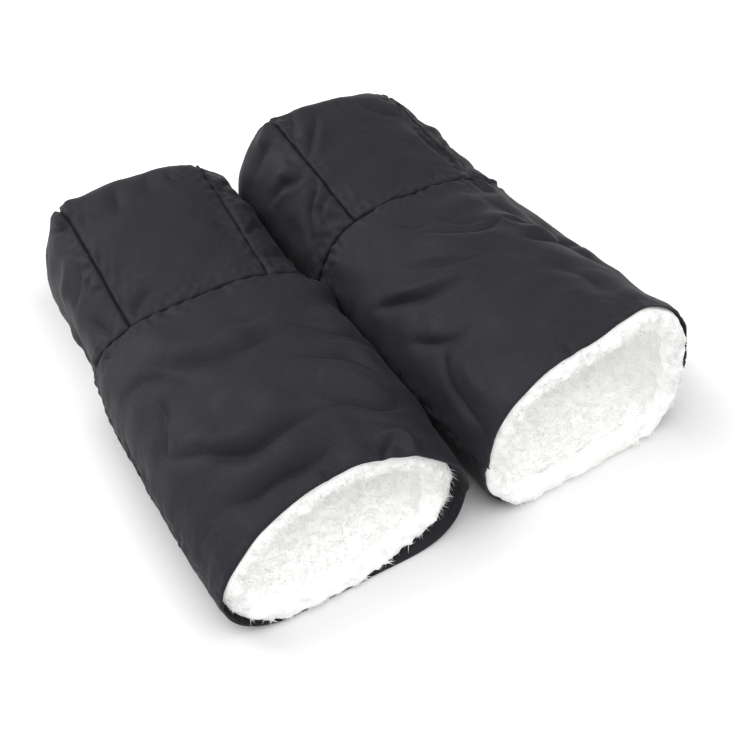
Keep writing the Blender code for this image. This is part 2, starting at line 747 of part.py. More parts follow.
def centre_pair(frames):
    """Moves both muffs so that the middle of the pair's outline is on the origin."""
    bpy.context.view_layer.update()
    view = bpy.context.evaluated_depsgraph_get()
    places = []
    for thing in PIECES.objects:
        if thing.type == "EMPTY":
            continue
        evaluated = thing.evaluated_get(view)
        mesh = evaluated.to_mesh()
        places += [evaluated.matrix_world @ vert.co for vert in mesh.vertices]
        evaluated.to_mesh_clear()
    places = np.array(places)
    middle = (places.min(axis=0) + places.max(axis=0)) / 2
    for frame in frames:
        frame.location.x -= middle[0]
        frame.location.y -= middle[1]
    bpy.context.view_layer.update()


clear_scene()
PIECES = new_collection("stroller_hand_muffs")
centre_pair([add_muff(LEFT), add_muff(RIGHT)])
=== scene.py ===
"""Looks of a pair of padded hand muffs for a stroller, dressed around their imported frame.

Each muff is rebuilt from the same sections as its solids: closed padded shell panels with sewn seams, folds
and cloth relief, a deep pile fleece inside, a rolled fleece rim, a closure flap and press studs. Lengths are
in metres.
"""

from __future__ import annotations

import json
import logging
import math
from collections.abc import Callable
from dataclasses import dataclass, field, replace
from enum import Enum
from functools import partial

import bpy
import numpy as np
from mathutils import Matrix, Vector

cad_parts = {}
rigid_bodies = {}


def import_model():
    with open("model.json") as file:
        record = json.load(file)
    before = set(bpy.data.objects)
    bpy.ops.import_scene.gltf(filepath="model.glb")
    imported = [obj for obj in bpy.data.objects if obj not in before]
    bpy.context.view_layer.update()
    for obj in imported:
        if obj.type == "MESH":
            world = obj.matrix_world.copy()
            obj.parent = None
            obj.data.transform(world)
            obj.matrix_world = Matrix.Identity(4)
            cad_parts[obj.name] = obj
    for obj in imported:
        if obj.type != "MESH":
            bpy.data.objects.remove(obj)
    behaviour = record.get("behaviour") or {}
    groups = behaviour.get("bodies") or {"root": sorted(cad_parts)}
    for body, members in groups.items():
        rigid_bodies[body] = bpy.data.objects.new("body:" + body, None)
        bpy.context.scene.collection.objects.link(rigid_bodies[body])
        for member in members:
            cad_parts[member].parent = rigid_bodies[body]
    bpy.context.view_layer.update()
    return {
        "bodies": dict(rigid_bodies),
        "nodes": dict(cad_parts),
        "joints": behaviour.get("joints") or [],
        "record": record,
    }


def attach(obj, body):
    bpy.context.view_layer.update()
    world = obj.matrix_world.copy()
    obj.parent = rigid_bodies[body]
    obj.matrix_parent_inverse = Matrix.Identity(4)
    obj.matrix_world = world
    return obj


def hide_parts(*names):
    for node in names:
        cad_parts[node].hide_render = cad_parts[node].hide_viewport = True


LOG = logging.getLogger("hand_muffs")
Adder = Callable[..., bpy.types.Node]


class Panel(Enum):
    """The sewn panels of one muff's shell."""

    BODY_UPPER = "body_upper"
    BODY_UNDER = "body_under"
    CAP_STRIP = "cap_strip"
    RIGHT_GUSSET = "cap_right_gusset"
    LEFT_GUSSET = "cap_left_gusset"


class Edge(Enum):
    """The four borders of a panel's grid of points."""

    FIRST_ROW = "first_row"
    LAST_ROW = "last_row"
    FIRST_COLUMN = "first_column"
    LAST_COLUMN = "last_column"


@dataclass(frozen=True)
class PatternSizes:
    """Sizes that both muffs are cut to, in metres, and the shares that their sections stand at."""

    length: float = 0.390
    width: float = 0.204
    body_length: float = 0.232
    strip_width: float = 0.120
    nose_length: float = 0.058
    base_width: float = 0.088
    shell_thickness: float = 0.0010
    wadding_thickness: float = 0.0060
    lining_thickness: float = 0.0050
    clearance: float = 0.0003
    rim_radius: float = 0.0062
    rim_setback: float = 0.0045
    mouth_reach: float = 0.090
    hem_reach: float = 0.035
    hinge_height: float = 0.0105
    hinge_inset: float = 0.0065
    rise_start: float = 0.165
    rise_length: float = 0.042
    underside_rise: float = 0.0079
    lower_power: float = 2.4
    nose_power: float = 4.5
    body_station_shares: tuple[float, ...] = (0.0, 0.26, 0.56, 0.86, 1.0)
    cap_station_shares: tuple[float, ...] = (0.41, 0.80, 1.0)
    widest_shares: tuple[float, ...] = (0.42, 0.42, 0.42, 0.42, 0.42, 0.34, 0.27, 0.26)

    @property
    def half_strip(self) -> float:
        """Half the width of the strip that runs over the cap."""
        return self.strip_width / 2

    @property
    def half_base(self) -> float:
        """Half the width of the flat that the body rests on."""
        return self.base_width / 2

    @property
    def nose_start(self) -> float:
        """Where the cap's rounded nose starts."""
        return self.length - self.nose_length

    @property
    def hinge_place(self) -> float:
        """Where the closure flap is folded, along the muff."""
        return self.length - self.hinge_inset

    @property
    def wadding_depth(self) -> float:
        """How far inside the outer surface the wadding starts."""
        return self.shell_thickness + self.clearance

    @property
    def lining_depth(self) -> float:
        """How far inside the outer surface the fleece starts."""
        return self.wadding_depth + self.wadding_thickness + self.clearance


SIZES = PatternSizes()


@dataclass(frozen=True)
class Fold:
    """A fold along a line of places, each a share across and a share along its panel.

    A positive depth presses the fold in, and ridge is the share of it that stands up beside the line.
    """

    places: tuple[tuple[float, float], ...]
    depth: float
    width: float
    ridge: float


@dataclass(frozen=True)
class EdgeStyle:
    """How a panel's border turns in: how deep, over what width, and how the sewing puckers it."""

    depth: float
    width: float
    pucker: float = 0.0
    pucker_length: float = 0.009


SEAM = EdgeStyle(depth=0.0022, width=0.0036, pucker=0.0010)
SIDE_SEAM = EdgeStyle(depth=0.0016, width=0.0034, pucker=0.0008)
TURNED_HEM = EdgeStyle(depth=0.0008, width=0.0022, pucker=0.0003)
PLAIN_END = EdgeStyle(depth=0.0, width=0.001)


def unit(values: np.ndarray | float) -> np.ndarray:
    """Values held between 0 and 1."""
    return np.clip(values, 0.0, 1.0)


def hermite(
    near: np.ndarray, far: np.ndarray, near_slope: np.ndarray, far_slope: np.ndarray, t: np.ndarray
) -> np.ndarray:
    """A smooth step between two neighbouring values.

    Args:
        near: The first value.
        far: The second one.
        near_slope: The slope at the first, over the whole step.
        far_slope: The slope at the second.
        t: How far along the step, from 0 to 1.

    Returns:
        The value there.
    """
    start = near * (1 + 2 * t) * (1 - t) ** 2 + near_slope * t * (1 - t) ** 2
    end = far * t**2 * (3 - 2 * t) - far_slope * t**2 * (1 - t)
    return start + end


def arc_lengths(line: np.ndarray) -> np.ndarray:
    """How far along a line each of its points lies, in metres."""
    return np.concatenate([[0.0], np.cumsum(np.linalg.norm(np.diff(line, axis=0), axis=1))])


@dataclass
class Patch:
    """A grid of points on a surface, with an outward direction at each."""

    points: np.ndarray
    normals: np.ndarray

    @property
    def rows(self) -> int:
        """How many rows of points there are."""
        return self.points.shape[0]

    @property
    def columns(self) -> int:
        """How many points a row has."""
        return self.points.shape[1]

    def arc(self, axis: int) -> np.ndarray:
        """Lengths along the grid's lines.

        Args:
            axis: 0 to measure along the columns, 1 along the rows.

        Returns:
            The distance of each point from its line's first point, in metres.
        """
        steps = np.linalg.norm(np.diff(self.points, axis=axis), axis=-1)
        start = np.zeros_like(np.take(steps, [0], axis=axis))
        return np.cumsum(np.concatenate([start, steps], axis=axis), axis=axis)

    def edge_distance(self, edge: Edge) -> np.ndarray:
        """How far each point is from one border.

        Args:
            edge: The border to measure from.

        Returns:
            The distances along the grid's lines, in metres.
        """
        if edge in (Edge.FIRST_ROW, Edge.LAST_ROW):
            arc = self.arc(0)
            return arc if edge is Edge.FIRST_ROW else arc[-1:] - arc
        arc = self.arc(1)
        return arc if edge is Edge.FIRST_COLUMN else arc[:, -1:] - arc

    def border_distance(self, *edges: Edge) -> np.ndarray:
        """How far each point is from the nearest of some borders, in metres."""
        return np.minimum.reduce([self.edge_distance(edge) for edge in edges])

    def at(self, across: float, along: float) -> np.ndarray:
        """The point at a share across and a share along.

        Args:
            across: 0 at the first column, 1 at the last.
            along: 0 at the first row, 1 at the last.

        Returns:
            A point between the four grid points around it.
        """
        row, column = unit(along) * (self.rows - 1), unit(across) * (self.columns - 1)
        i, j = min(int(row), self.rows - 2), min(int(column), self.columns - 2)
        s, t = row - i, column - j
        near = self.points[i, j] * (1 - t) + self.points[i, j + 1] * t
        far = self.points[i + 1, j] * (1 - t) + self.points[i + 1, j + 1] * t
        return near * (1 - s) + far * s

    def moved(self, offsets: np.ndarray) -> Patch:
        """A copy with each point moved along its outward direction.

        Args:
            offsets: How far each point moves, in metres.

        Returns:
            The moved patch.
        """
        return Patch(self.points + self.normals * np.asarray(offsets)[..., None], self.normals)


LEFT_HEIGHT = 0.104
# The left mouth's slanted brow sets where the wadding and the fleece start in both muffs.
LEFT_BROW_LENGTH = 0.024


@dataclass(frozen=True)
class MuffForm:
    """The outer surface of one muff in its own frame: +X across, +Y from mouth to cap, +Z up.

    hem_shifts move the mouth's upper hem along the muff, spread evenly from its right end to its left one.
    rim_setbacks draw the rolled rim in, spread evenly round the mouth from its right side over the top.
    """

    name: str
    height: float
    left_side_shares: tuple[float, ...]
    right_side_shares: tuple[float, ...]
    top_shares: tuple[float, ...]
    lean_shares: tuple[float, ...]
    upper_powers: tuple[float, ...]
    brow_length: float = 0.0
    lip_length: float = 0.0
    hem_shifts: tuple[float, ...] = (0.0, 0.0)
    rim_setbacks: tuple[float, ...] = (0.004,)
    wall_belly: float = 0.55
    nose_rounds: int = 4
    sizes: PatternSizes = SIZES

    def read(self, values: tuple[float, ...], y: np.ndarray | float) -> np.ndarray:
        """A section value at a place, on a smooth curve through the values at the stations.

        Args:
            values: The value at each station.
            y: Places along the muff.

        Returns:
            The values there.
        """
        size = self.sizes
        body = [size.body_length * share for share in size.body_station_shares]
        cap_length = size.length - size.body_length
        cap = [size.body_length + cap_length * share for share in size.cap_station_shares]
        places = np.array(body + cap)
        values = np.array(values)
        slopes = np.gradient(values, places)
        low = np.clip(np.searchsorted(places, y, side="right") - 1, 0, len(places) - 2)
        span = places[low + 1] - places[low]
        t = unit((y - places[low]) / span)
        return hermite(values[low], values[low + 1], slopes[low] * span, slopes[low + 1] * span, t)

    def half_width(self, y: np.ndarray | float, side: np.ndarray | float) -> np.ndarray:
        """The reach from the middle, to the left where side is negative and to the right elsewhere.

        Args:
            y: Places along the muff.
            side: Negative for the left side.

        Returns:
            The reaches in metres.
        """
        left, right = (self.read(s, y) for s in (self.left_side_shares, self.right_side_shares))
        return self.sizes.width / 2 * np.where(np.asarray(side) < 0.0, left, right)

    def top(self, y: np.ndarray | float) -> np.ndarray:
        """The height of the top at y."""
        return self.height * self.read(self.top_shares, y)

    def widest(self, y: np.ndarray | float) -> np.ndarray:
        """The height at which the muff is widest at y."""
        return self.top(y) * self.read(self.sizes.widest_shares, y)

    def crown(self, x: np.ndarray, y: np.ndarray | float) -> np.ndarray:
        """How far the top stands above the widest level, less on the side that the muff leans to.

        Args:
            x: Places across the muff.
            y: Places along the muff.

        Returns:
            The heights in metres.
        """
        lean = self.read(self.lean_shares, y) * x / self.half_width(y, x)
        return (self.top(y) - self.widest(y)) * (1.0 - lean)

    def underside(self, y: np.ndarray | float) -> np.ndarray:
        """The height of the underside at y, on the floor and then raised over the flap's tip."""
        return self.sizes.underside_rise * unit((y - self.sizes.rise_start) / self.sizes.rise_length)

    def nose_share(self, y: np.ndarray | float) -> np.ndarray:
        """How far along the rounded nose y is, from 0 to 1."""
        return np.clip((y - self.sizes.nose_start) / self.sizes.nose_length, 0.0, None)

    def nose_shrink(self, y: np.ndarray | float) -> np.ndarray:
        """How much smaller a section of the nose is than the straight cap."""
        left_over = unit(1.0 - self.nose_share(y) ** self.sizes.nose_power)
        return left_over ** (1.0 / self.read(self.upper_powers, y))

    def upper_level(self, x: np.ndarray, y: np.ndarray, z: np.ndarray) -> np.ndarray:
        """1 on the outer surface of the upper side and more outside it.

        Args:
            x: Places across the muff.
            y: Places along the muff.
            z: Heights.

        Returns:
            The level at each point.
        """
        power = self.read(self.upper_powers, y)
        across = np.abs(x / self.half_width(y, x)) ** power
        up = np.abs((z - self.widest(y)) / self.crown(x, y)) ** power
        return across + up + self.nose_share(y) ** self.sizes.nose_power

    def under_level(self, x: np.ndarray, y: np.ndarray, z: np.ndarray) -> np.ndarray:
        """1 on the outer surface of the underside and more outside it.

        Args:
            x: Places across the muff.
            y: Places along the muff.
            z: Heights.

        Returns:
            The level at each point.
        """
        half_base = self.sizes.half_base
        side = np.clip((np.abs(x) - half_base) / (self.half_width(y, x) - half_base), 0.0, None)
        widest = self.widest(y)
        down = np.abs((widest - z) / (widest - self.underside(y)))
        return side**self.sizes.lower_power + down**self.sizes.lower_power

    def outward(self, points: np.ndarray, upper: bool) -> np.ndarray:
        """Outward unit directions, from the slope of the surface's level.

        Args:
            points: Points on the surface.
            upper: Whether they lie on the upper side.

        Returns:
            A direction for each point.
        """
        level = self.upper_level if upper else self.under_level
        step = self.sizes.clearance / 30
        x, y, z = np.moveaxis(points, -1, 0)
        slope_x = level(x + step, y, z) - level(x - step, y, z)
        slope_y = level(x, y + step, z) - level(x, y - step, z)
        slope_z = level(x, y, z + step) - level(x, y, z - step)
        slopes = np.stack([slope_x, slope_y, slope_z], axis=-1)
        return slopes / np.linalg.norm(slopes, axis=-1, keepdims=True)

    def upper_row(self, y: float, angles: np.ndarray) -> np.ndarray:
        """Points across the upper side.

        Args:
            y: The section's place along the muff.
            angles: Angles round the section, 0 at the right and pi at the left.

        Returns:
            One point for each angle.
        """
        power = self.read(self.upper_powers, y)
        shrink = self.nose_shrink(y)
        cosines = np.cos(angles)
        reach = np.sign(cosines) * np.abs(cosines) ** (2.0 / power)
        x = self.half_width(y, cosines) * shrink * reach
        rise = shrink * np.abs(np.sin(angles)) ** (2.0 / power)
        z = self.widest(y) + self.crown(x, y) * rise
        return np.stack([x, np.full_like(x, y), z], axis=-1)

    def under_row(self, y: float, count: int) -> np.ndarray:
        """Points across the underside, from its right edge to its left one.

        Args:
            y: The section's place along the muff.
            count: How many points each round side has.

        Returns:
            The points, with a straight base between the two sides.
        """
        power = self.sizes.lower_power
        half_base = self.sizes.half_base
        angles = np.linspace(0.0, math.pi / 2, count)
        right, left = (
            half_base + (self.half_width(y, side) - half_base) * np.abs(np.cos(angles)) ** (2.0 / power)
            for side in (1, -1)
        )
        drop = self.widest(y) - self.underside(y)
        heights = self.widest(y) - drop * np.abs(np.sin(angles)) ** (2.0 / power)
        x = np.concatenate([right, -left[::-1]])
        z = np.concatenate([heights, heights[::-1]])
        return np.stack([x, np.full_like(x, y), z], axis=-1)

    def strip_places(self, x: np.ndarray, angle: float) -> np.ndarray:
        """Where the nose lies at x, at an angle from straight up to straight back.

        Args:
            x: Places across the strip.
            angle: The angle over the nose.

        Returns:
            The places along the muff.
        """
        size = self.sizes
        places = np.full_like(x, size.nose_start)
        for _ in range(self.nose_rounds):
            power = self.read(self.upper_powers, places)
            left_over = 1.0 - np.abs(x / self.half_width(places, x)) ** power
            share = (left_over * math.sin(angle) ** 2) ** (1.0 / size.nose_power)
            places = size.nose_start + size.nose_length * share
        return places

    def strip_row(self, x: np.ndarray, travel: float) -> np.ndarray:
        """Points of the strip at a share of its way over the cap and down the end wall.

        Args:
            x: Places across the strip.
            travel: 0 at the cross seam, 1 at the start of the nose, 2 at its foot, 3 at the flap's fold.

        Returns:
            One point for each x.
        """
        size = self.sizes
        if travel <= 1.0:
            start = size.body_length + size.clearance / 2
            places = np.full_like(x, start + (size.nose_start - start) * travel)
        else:
            places = self.strip_places(x, min(travel - 1.0, 1.0) * math.pi / 2)
        power = self.read(self.upper_powers, places)
        across = np.abs(x / self.half_width(places, x)) ** power
        left_over = unit(1.0 - across - self.nose_share(places) ** size.nose_power)
        z = self.widest(places) + self.crown(x, places) * left_over ** (1.0 / power)
        points = np.stack([x, places, z], axis=-1)
        if travel <= 2.0:
            return points
        share = travel - 2.0
        fold = np.stack([x, np.full_like(x, size.hinge_place), np.full_like(x, size.hinge_height)], axis=-1)
        belly = points.copy()
        belly[:, 2] -= (belly[:, 2] - size.hinge_height) * self.wall_belly
        return points * (1 - share) ** 2 + belly * 2 * share * (1 - share) + fold * share**2

    def gusset_row(self, travel: float, side: int, count: int) -> np.ndarray:
        """Points of a gusset from the strip's edge down to the free hem.

        Args:
            travel: As for strip_row, up to 2.
            side: 1 for the right gusset, -1 for the left one.
            count: How many points.

        Returns:
            The points.
        """
        edge = self.strip_row(np.array([side * self.sizes.half_strip]), travel)[0]
        y = float(edge[1])
        power = float(self.read(self.upper_powers, y))
        reach = float(self.half_width(y, side) * self.nose_shrink(y))
        start = math.acos(min(1.0, (self.sizes.half_strip / reach) ** (power / 2)))
        angles = np.linspace(start, 0.0, count)
        if side < 0:
            angles = math.pi - angles
        return self.upper_row(y, angles)

    def drawn(self, grid: np.ndarray, upper: bool) -> np.ndarray:
        """Pushes the mouth's upper edge back by the brow, or draws its lower edge out by the lip.

        Args:
            grid: Points near the mouth.
            upper: Whether they lie on the upper side.

        Returns:
            The moved points.
        """
        size = self.sizes
        x, y, z = np.moveaxis(grid, -1, 0)
        widest = self.widest(y)
        if upper:
            reach = self.brow_length * unit((z - widest) / self.crown(x, y)) ** 2
        else:
            share = unit((widest - z) / (widest - self.underside(y)))
            reach = -self.lip_length * share**2
        fade = 1.0 - unit((y - self.padding_start) / size.mouth_reach)
        moved = grid.copy()
        moved[..., 1] += reach * fade**2
        return moved

    @property
    def padding_start(self) -> float:
        """Where the wadding and the fleece tube start, behind the rolled rim."""
        size = self.sizes
        slant = LEFT_BROW_LENGTH / (LEFT_HEIGHT / 2)
        return size.rim_setback + (size.rim_radius + size.clearance) * math.hypot(1.0, slant)


LEFT_FORM = MuffForm(
    name="left",
    height=LEFT_HEIGHT,
    left_side_shares=(0.97, 1.0, 1.0, 0.98, 0.94, 0.90, 0.87, 0.87),
    right_side_shares=(0.97, 1.0, 1.0, 0.98, 0.94, 0.91, 0.90, 0.90),
    top_shares=(0.93, 0.98, 0.99, 0.933, 0.875, 0.99, 1.09, 1.11),
    lean_shares=(-0.16, -0.10, -0.03, 0.0, 0.0, 0.0, 0.0, 0.0),
    upper_powers=(2.1, 2.2, 2.3, 2.4, 2.6, 2.8, 2.8, 2.8),
    brow_length=LEFT_BROW_LENGTH,
    lip_length=0.009,
    hem_shifts=(-0.0035, -0.0044, -0.0055, -0.0045, -0.004, -0.002, 0.0015),
    rim_setbacks=(0.017, 0.009, 0.004, 0.0, 0.0, 0.0, 0.001, 0.006, -0.0015, -0.001, 0.008, 0.015),
)
RIGHT_FORM = MuffForm(
    name="right",
    height=0.124,
    left_side_shares=(0.96, 0.966, 0.966, 0.945, 0.93, 0.96, 1.0, 1.0),
    right_side_shares=(0.95, 0.966, 0.966, 0.945, 0.92, 0.88, 0.87, 0.87),
    top_shares=(1.145, 1.08, 1.0, 0.935, 0.895, 0.945, 1.0, 1.01),
    lean_shares=(0.08, 0.06, 0.06, 0.10, 0.12, 0.15, 0.16, 0.16),
    upper_powers=(2.6, 2.3, 2.3, 2.4, 2.6, 2.8, 2.8, 2.8),
    lip_length=0.008,
    hem_shifts=(0.0, 0.0095, 0.0110, 0.0005, -0.0025, -0.003, -0.003),
    rim_setbacks=(-0.001, 0.002, 0.0, 0.0, 0.0, -0.003, -0.0035, -0.003),
)


def even_row(dense: np.ndarray, count: int) -> np.ndarray:
    """A line of points spaced evenly along a dense one.

    Args:
        dense: The dense line.
        count: How many points to return.

    Returns:
        The evenly spaced points.
    """
    arc = arc_lengths(dense)
    wanted = np.linspace(0.0, arc[-1], count)
    return np.stack([np.interp(wanted, arc, dense[:, k]) for k in range(3)], axis=1)


WAVES = 30
WAVE_SPREAD = (0.7, 1.5)


def soft_noise(points: np.ndarray, wavelength: float, seed: int, stretch: tuple | None = None) -> np.ndarray:
    """A smooth random field made of plane waves.

    Args:
        points: Where to read it.
        wavelength: The waves' mean length, in metres.
        seed: Picks the waves.
        stretch: Factors on the three axes, above 1 where the waves are to be longer.

    Returns:
        Values with a mean near 0 and a spread near 1.
    """
    random = np.random.default_rng(seed)
    directions = random.normal(size=(WAVES, 3))
    directions /= np.linalg.norm(directions, axis=1, keepdims=True)
    if stretch is not None:
        directions /= np.array(stretch)
    lengths = wavelength * random.uniform(*WAVE_SPREAD, WAVES)
    phases = random.uniform(0.0, math.tau, WAVES)
    total = np.zeros(points.shape[:-1])
    for direction, length, phase in zip(directions, lengths, phases):
        total += np.cos(points @ (direction * math.tau / length) + phase)
    return total * math.sqrt(2.0 / WAVES)


@dataclass(frozen=True)
class Crumple:
    """Patches of short, fine creases that run across the muff, as thin cloth keeps from being handled."""

    wavelength: float = 0.021
    stretch: tuple[float, float, float] = (1.8, 1.0, 1.0)
    patch_size: float = 0.06
    cover: float = 0.35
    cover_spread: float = 0.6
    steepness: float = 2.6
    bottom_round: float = 0.06

    def heights(self, points: np.ndarray, seed: int) -> np.ndarray:
        """How high the creased cloth stands.

        Args:
            points: Where to read it.
            seed: Picks the creases.

        Returns:
            Heights from 0 down to about -1, sharp at the bottom of each crease.
        """
        waves = soft_noise(points, self.wavelength, seed, self.stretch)
        patches = unit(self.cover + self.cover_spread * soft_noise(points, self.patch_size, seed + 1))
        fall = np.sqrt(waves**2 + self.bottom_round**2) - self.bottom_round
        return -patches * np.exp(-self.steepness * fall)


def smooth_line(places: np.ndarray, count: int) -> np.ndarray:
    """A smooth curve through a few places.

    Args:
        places: The places to pass through.
        count: How many points to return.

    Returns:
        Points on the curve.
    """
    knots = arc_lengths(places)
    wanted = np.linspace(0.0, knots[-1], count)
    if len(places) == 2:
        return places[0] + (places[-1] - places[0]) * (wanted / knots[-1])[:, None]
    slopes = np.gradient(places, knots, axis=0)
    low = np.clip(np.searchsorted(knots, wanted, side="right") - 1, 0, len(knots) - 2)
    span = (knots[low + 1] - knots[low])[:, None]
    t = ((wanted - knots[low]) / span[:, 0])[:, None]
    return hermite(places[low], places[low + 1], slopes[low] * span, slopes[low + 1] * span, t)


@dataclass(frozen=True)
class FoldSection:
    """The cross-section that all folds share, its places and widths in shares of a fold's width."""

    reach: float = 4.0
    bottom_round: float = 0.2
    steepness: float = 1.3
    ridge_place: float = 1.7
    ridge_width: float = 1.35
    far_ridge: float = 0.4
    crisp_bottom: float = 0.3
    end_share: float = 0.02
    taper_power: float = 0.6


FOLD_SECTION = FoldSection()


def fold_relief(patch: Patch, fold: Fold) -> tuple[np.ndarray, np.ndarray]:
    """How one fold moves the points of a panel.

    Args:
        patch: The panel.
        fold: The fold.

    Returns:
        The offset of each point along its outward direction, in metres, and how near it is to the bottom of
        a crisp fold, from 0 to 1.
    """
    section = FOLD_SECTION
    places = np.array([patch.at(across, along) for across, along in fold.places])
    line = smooth_line(places, max(8, 5 * len(places)))
    flat = patch.points.reshape(-1, 3)
    normals = patch.normals.reshape(-1, 3)
    reach = section.reach * fold.width
    near = np.all((flat > line.min(0) - reach) & (flat < line.max(0) + reach), axis=1)
    points, facing = flat[near], normals[near]
    best = np.full(len(points), np.inf)
    side = np.zeros(len(points))
    share = np.zeros(len(points))
    for index, (start, end) in enumerate(zip(line[:-1], line[1:])):
        run = end - start
        t = unit((points - start) @ run / (run @ run))
        away = points - start - t[:, None] * run
        distance = np.linalg.norm(away, axis=1)
        closer = distance < best
        best[closer] = distance[closer]
        turn = np.einsum("ij,ij->i", np.cross(run, away), facing)
        side[closer] = np.sign(turn[closer])
        share[closer] = (index + t[closer]) / (len(line) - 1)
    signed = best * side / fold.width
    share = np.clip(share, section.end_share, 1.0 - section.end_share)
    taper = unit(np.sin(math.pi * share)) ** section.taper_power
    relief, bottom = np.zeros(len(flat)), np.zeros(len(flat))
    if fold.ridge > 0.0:
        fall = np.sqrt(signed**2 + section.bottom_round**2) - section.bottom_round
        valley = np.exp(-section.steepness * fall)
        bottom[near] = taper * np.exp(-((signed / section.crisp_bottom) ** 2))
    else:
        valley = np.exp(-(signed**2))
    ridge = np.exp(-(((signed - section.ridge_place) / section.ridge_width) ** 2))
    far = np.exp(-(((signed + section.ridge_place) / section.ridge_width) ** 2))
    relief[near] = fold.depth * taper * (fold.ridge * (ridge + section.far_ridge * far) - valley)
    shape = patch.points.shape[:-1]
    return relief.reshape(shape), bottom.reshape(shape)


def edge_relief(patch: Patch, styles: dict[Edge, EdgeStyle], seed: int) -> np.ndarray:
    """How a panel's borders turn in, with the small puckers that sewing draws up beside them.

    Args:
        patch: The panel.
        styles: How each border is finished.
        seed: Picks the puckers.

    Returns:
        The offset of each point along its outward direction, in metres.
    """
    relief = np.zeros(patch.points.shape[:-1])
    for number, (edge, style) in enumerate(styles.items()):
        distance = patch.edge_distance(edge)
        share = unit(1.0 - distance / style.width)
        relief -= style.depth * (1.0 - np.sqrt(1.0 - share**2))
        if style.pucker:
            ripple = soft_noise(patch.points, style.pucker_length, seed + number)
            relief += style.pucker * ripple * np.exp(-distance / style.pucker_length) * (1.0 - share**2)
    return relief


def hex_to_linear(code: str) -> tuple[float, float, float, float]:
    """Turns an sRGB hex value into a linear colour.

    Args:
        code: Six hex digits, such as "3A393E".

    Returns:
        Red, green, blue and an alpha of 1.
    """
    values = [int(code[i : i + 2], 16) / 255 for i in (0, 2, 4)]
    linear = [v / 12.92 if v <= 0.04045 else ((v + 0.055) / 1.055) ** 2.4 for v in values]
    return (*linear, 1.0)


def feed(node: bpy.types.Node, inputs: dict) -> None:
    """Sets or links a node's inputs.

    Args:
        node: The node.
        inputs: Socket names or numbers, each with a value, an output, or a node whose first output feeds it.
    """
    for key, value in inputs.items():
        source = value.outputs[0] if isinstance(value, bpy.types.Node) else value
        if isinstance(source, bpy.types.NodeSocket):
            node.id_data.links.new(source, node.inputs[key])
        else:
            node.inputs[key].default_value = source


def add_node(
    tree: bpy.types.NodeTree, kind: str, inputs: dict | None = None, **settings: object
) -> bpy.types.Node:
    """Adds a node with its settings, values and links.

    Args:
        tree: The tree that takes the node.
        kind: The node's type, such as "ShaderNodeMath".
        inputs: What its sockets get, as feed takes it.
        **settings: The node's own settings.

    Returns:
        The new node.
    """
    node = tree.nodes.new(kind)
    for name, value in settings.items():
        setattr(node, name, value)
    feed(node, inputs or {})
    return node


def new_material(name: str) -> tuple[bpy.types.Material, Adder, bpy.types.Node]:
    """Starts a material with a Principled shader.

    Args:
        name: The material's name.

    Returns:
        The material, what adds nodes to it, and its shader.
    """
    material = bpy.data.materials.new(name)
    material.use_nodes = True
    tree = material.node_tree
    return material, partial(add_node, tree), tree.nodes["Principled BSDF"]


def new_tree(name: str, sizes: dict[str, str]) -> tuple[bpy.types.NodeTree, Adder, object]:
    """Starts a Geometry Nodes tree.

    Args:
        name: The tree's name.
        sizes: Its named inputs after the geometry, each with its kind, such as "Float".

    Returns:
        The tree, what adds nodes to it, and its inputs.
    """
    tree = bpy.data.node_groups.new(name, "GeometryNodeTree")
    for item, kind in {"Geometry": "Geometry", **sizes}.items():
        tree.interface.new_socket(item, in_out="INPUT", socket_type=f"NodeSocket{kind}")
    tree.interface.new_socket("Geometry", in_out="OUTPUT", socket_type="NodeSocketGeometry")
    add = partial(add_node, tree)
    return tree, add, add("NodeGroupInput").outputs


def end_tree(add: Adder, grown: bpy.types.Node, material: bpy.types.Material) -> None:
    """Ends a tree whose instances are real with smooth faces, their finish and the output.

    Args:
        add: What adds nodes to the tree.
        grown: The node that gives the geometry.
        material: The finish.
    """
    smooth = add("GeometryNodeSetShadeSmooth", {"Geometry": grown})
    dressed = add("GeometryNodeSetMaterial", {"Geometry": smooth, "Material": material})
    add("NodeGroupOutput", {0: dressed})


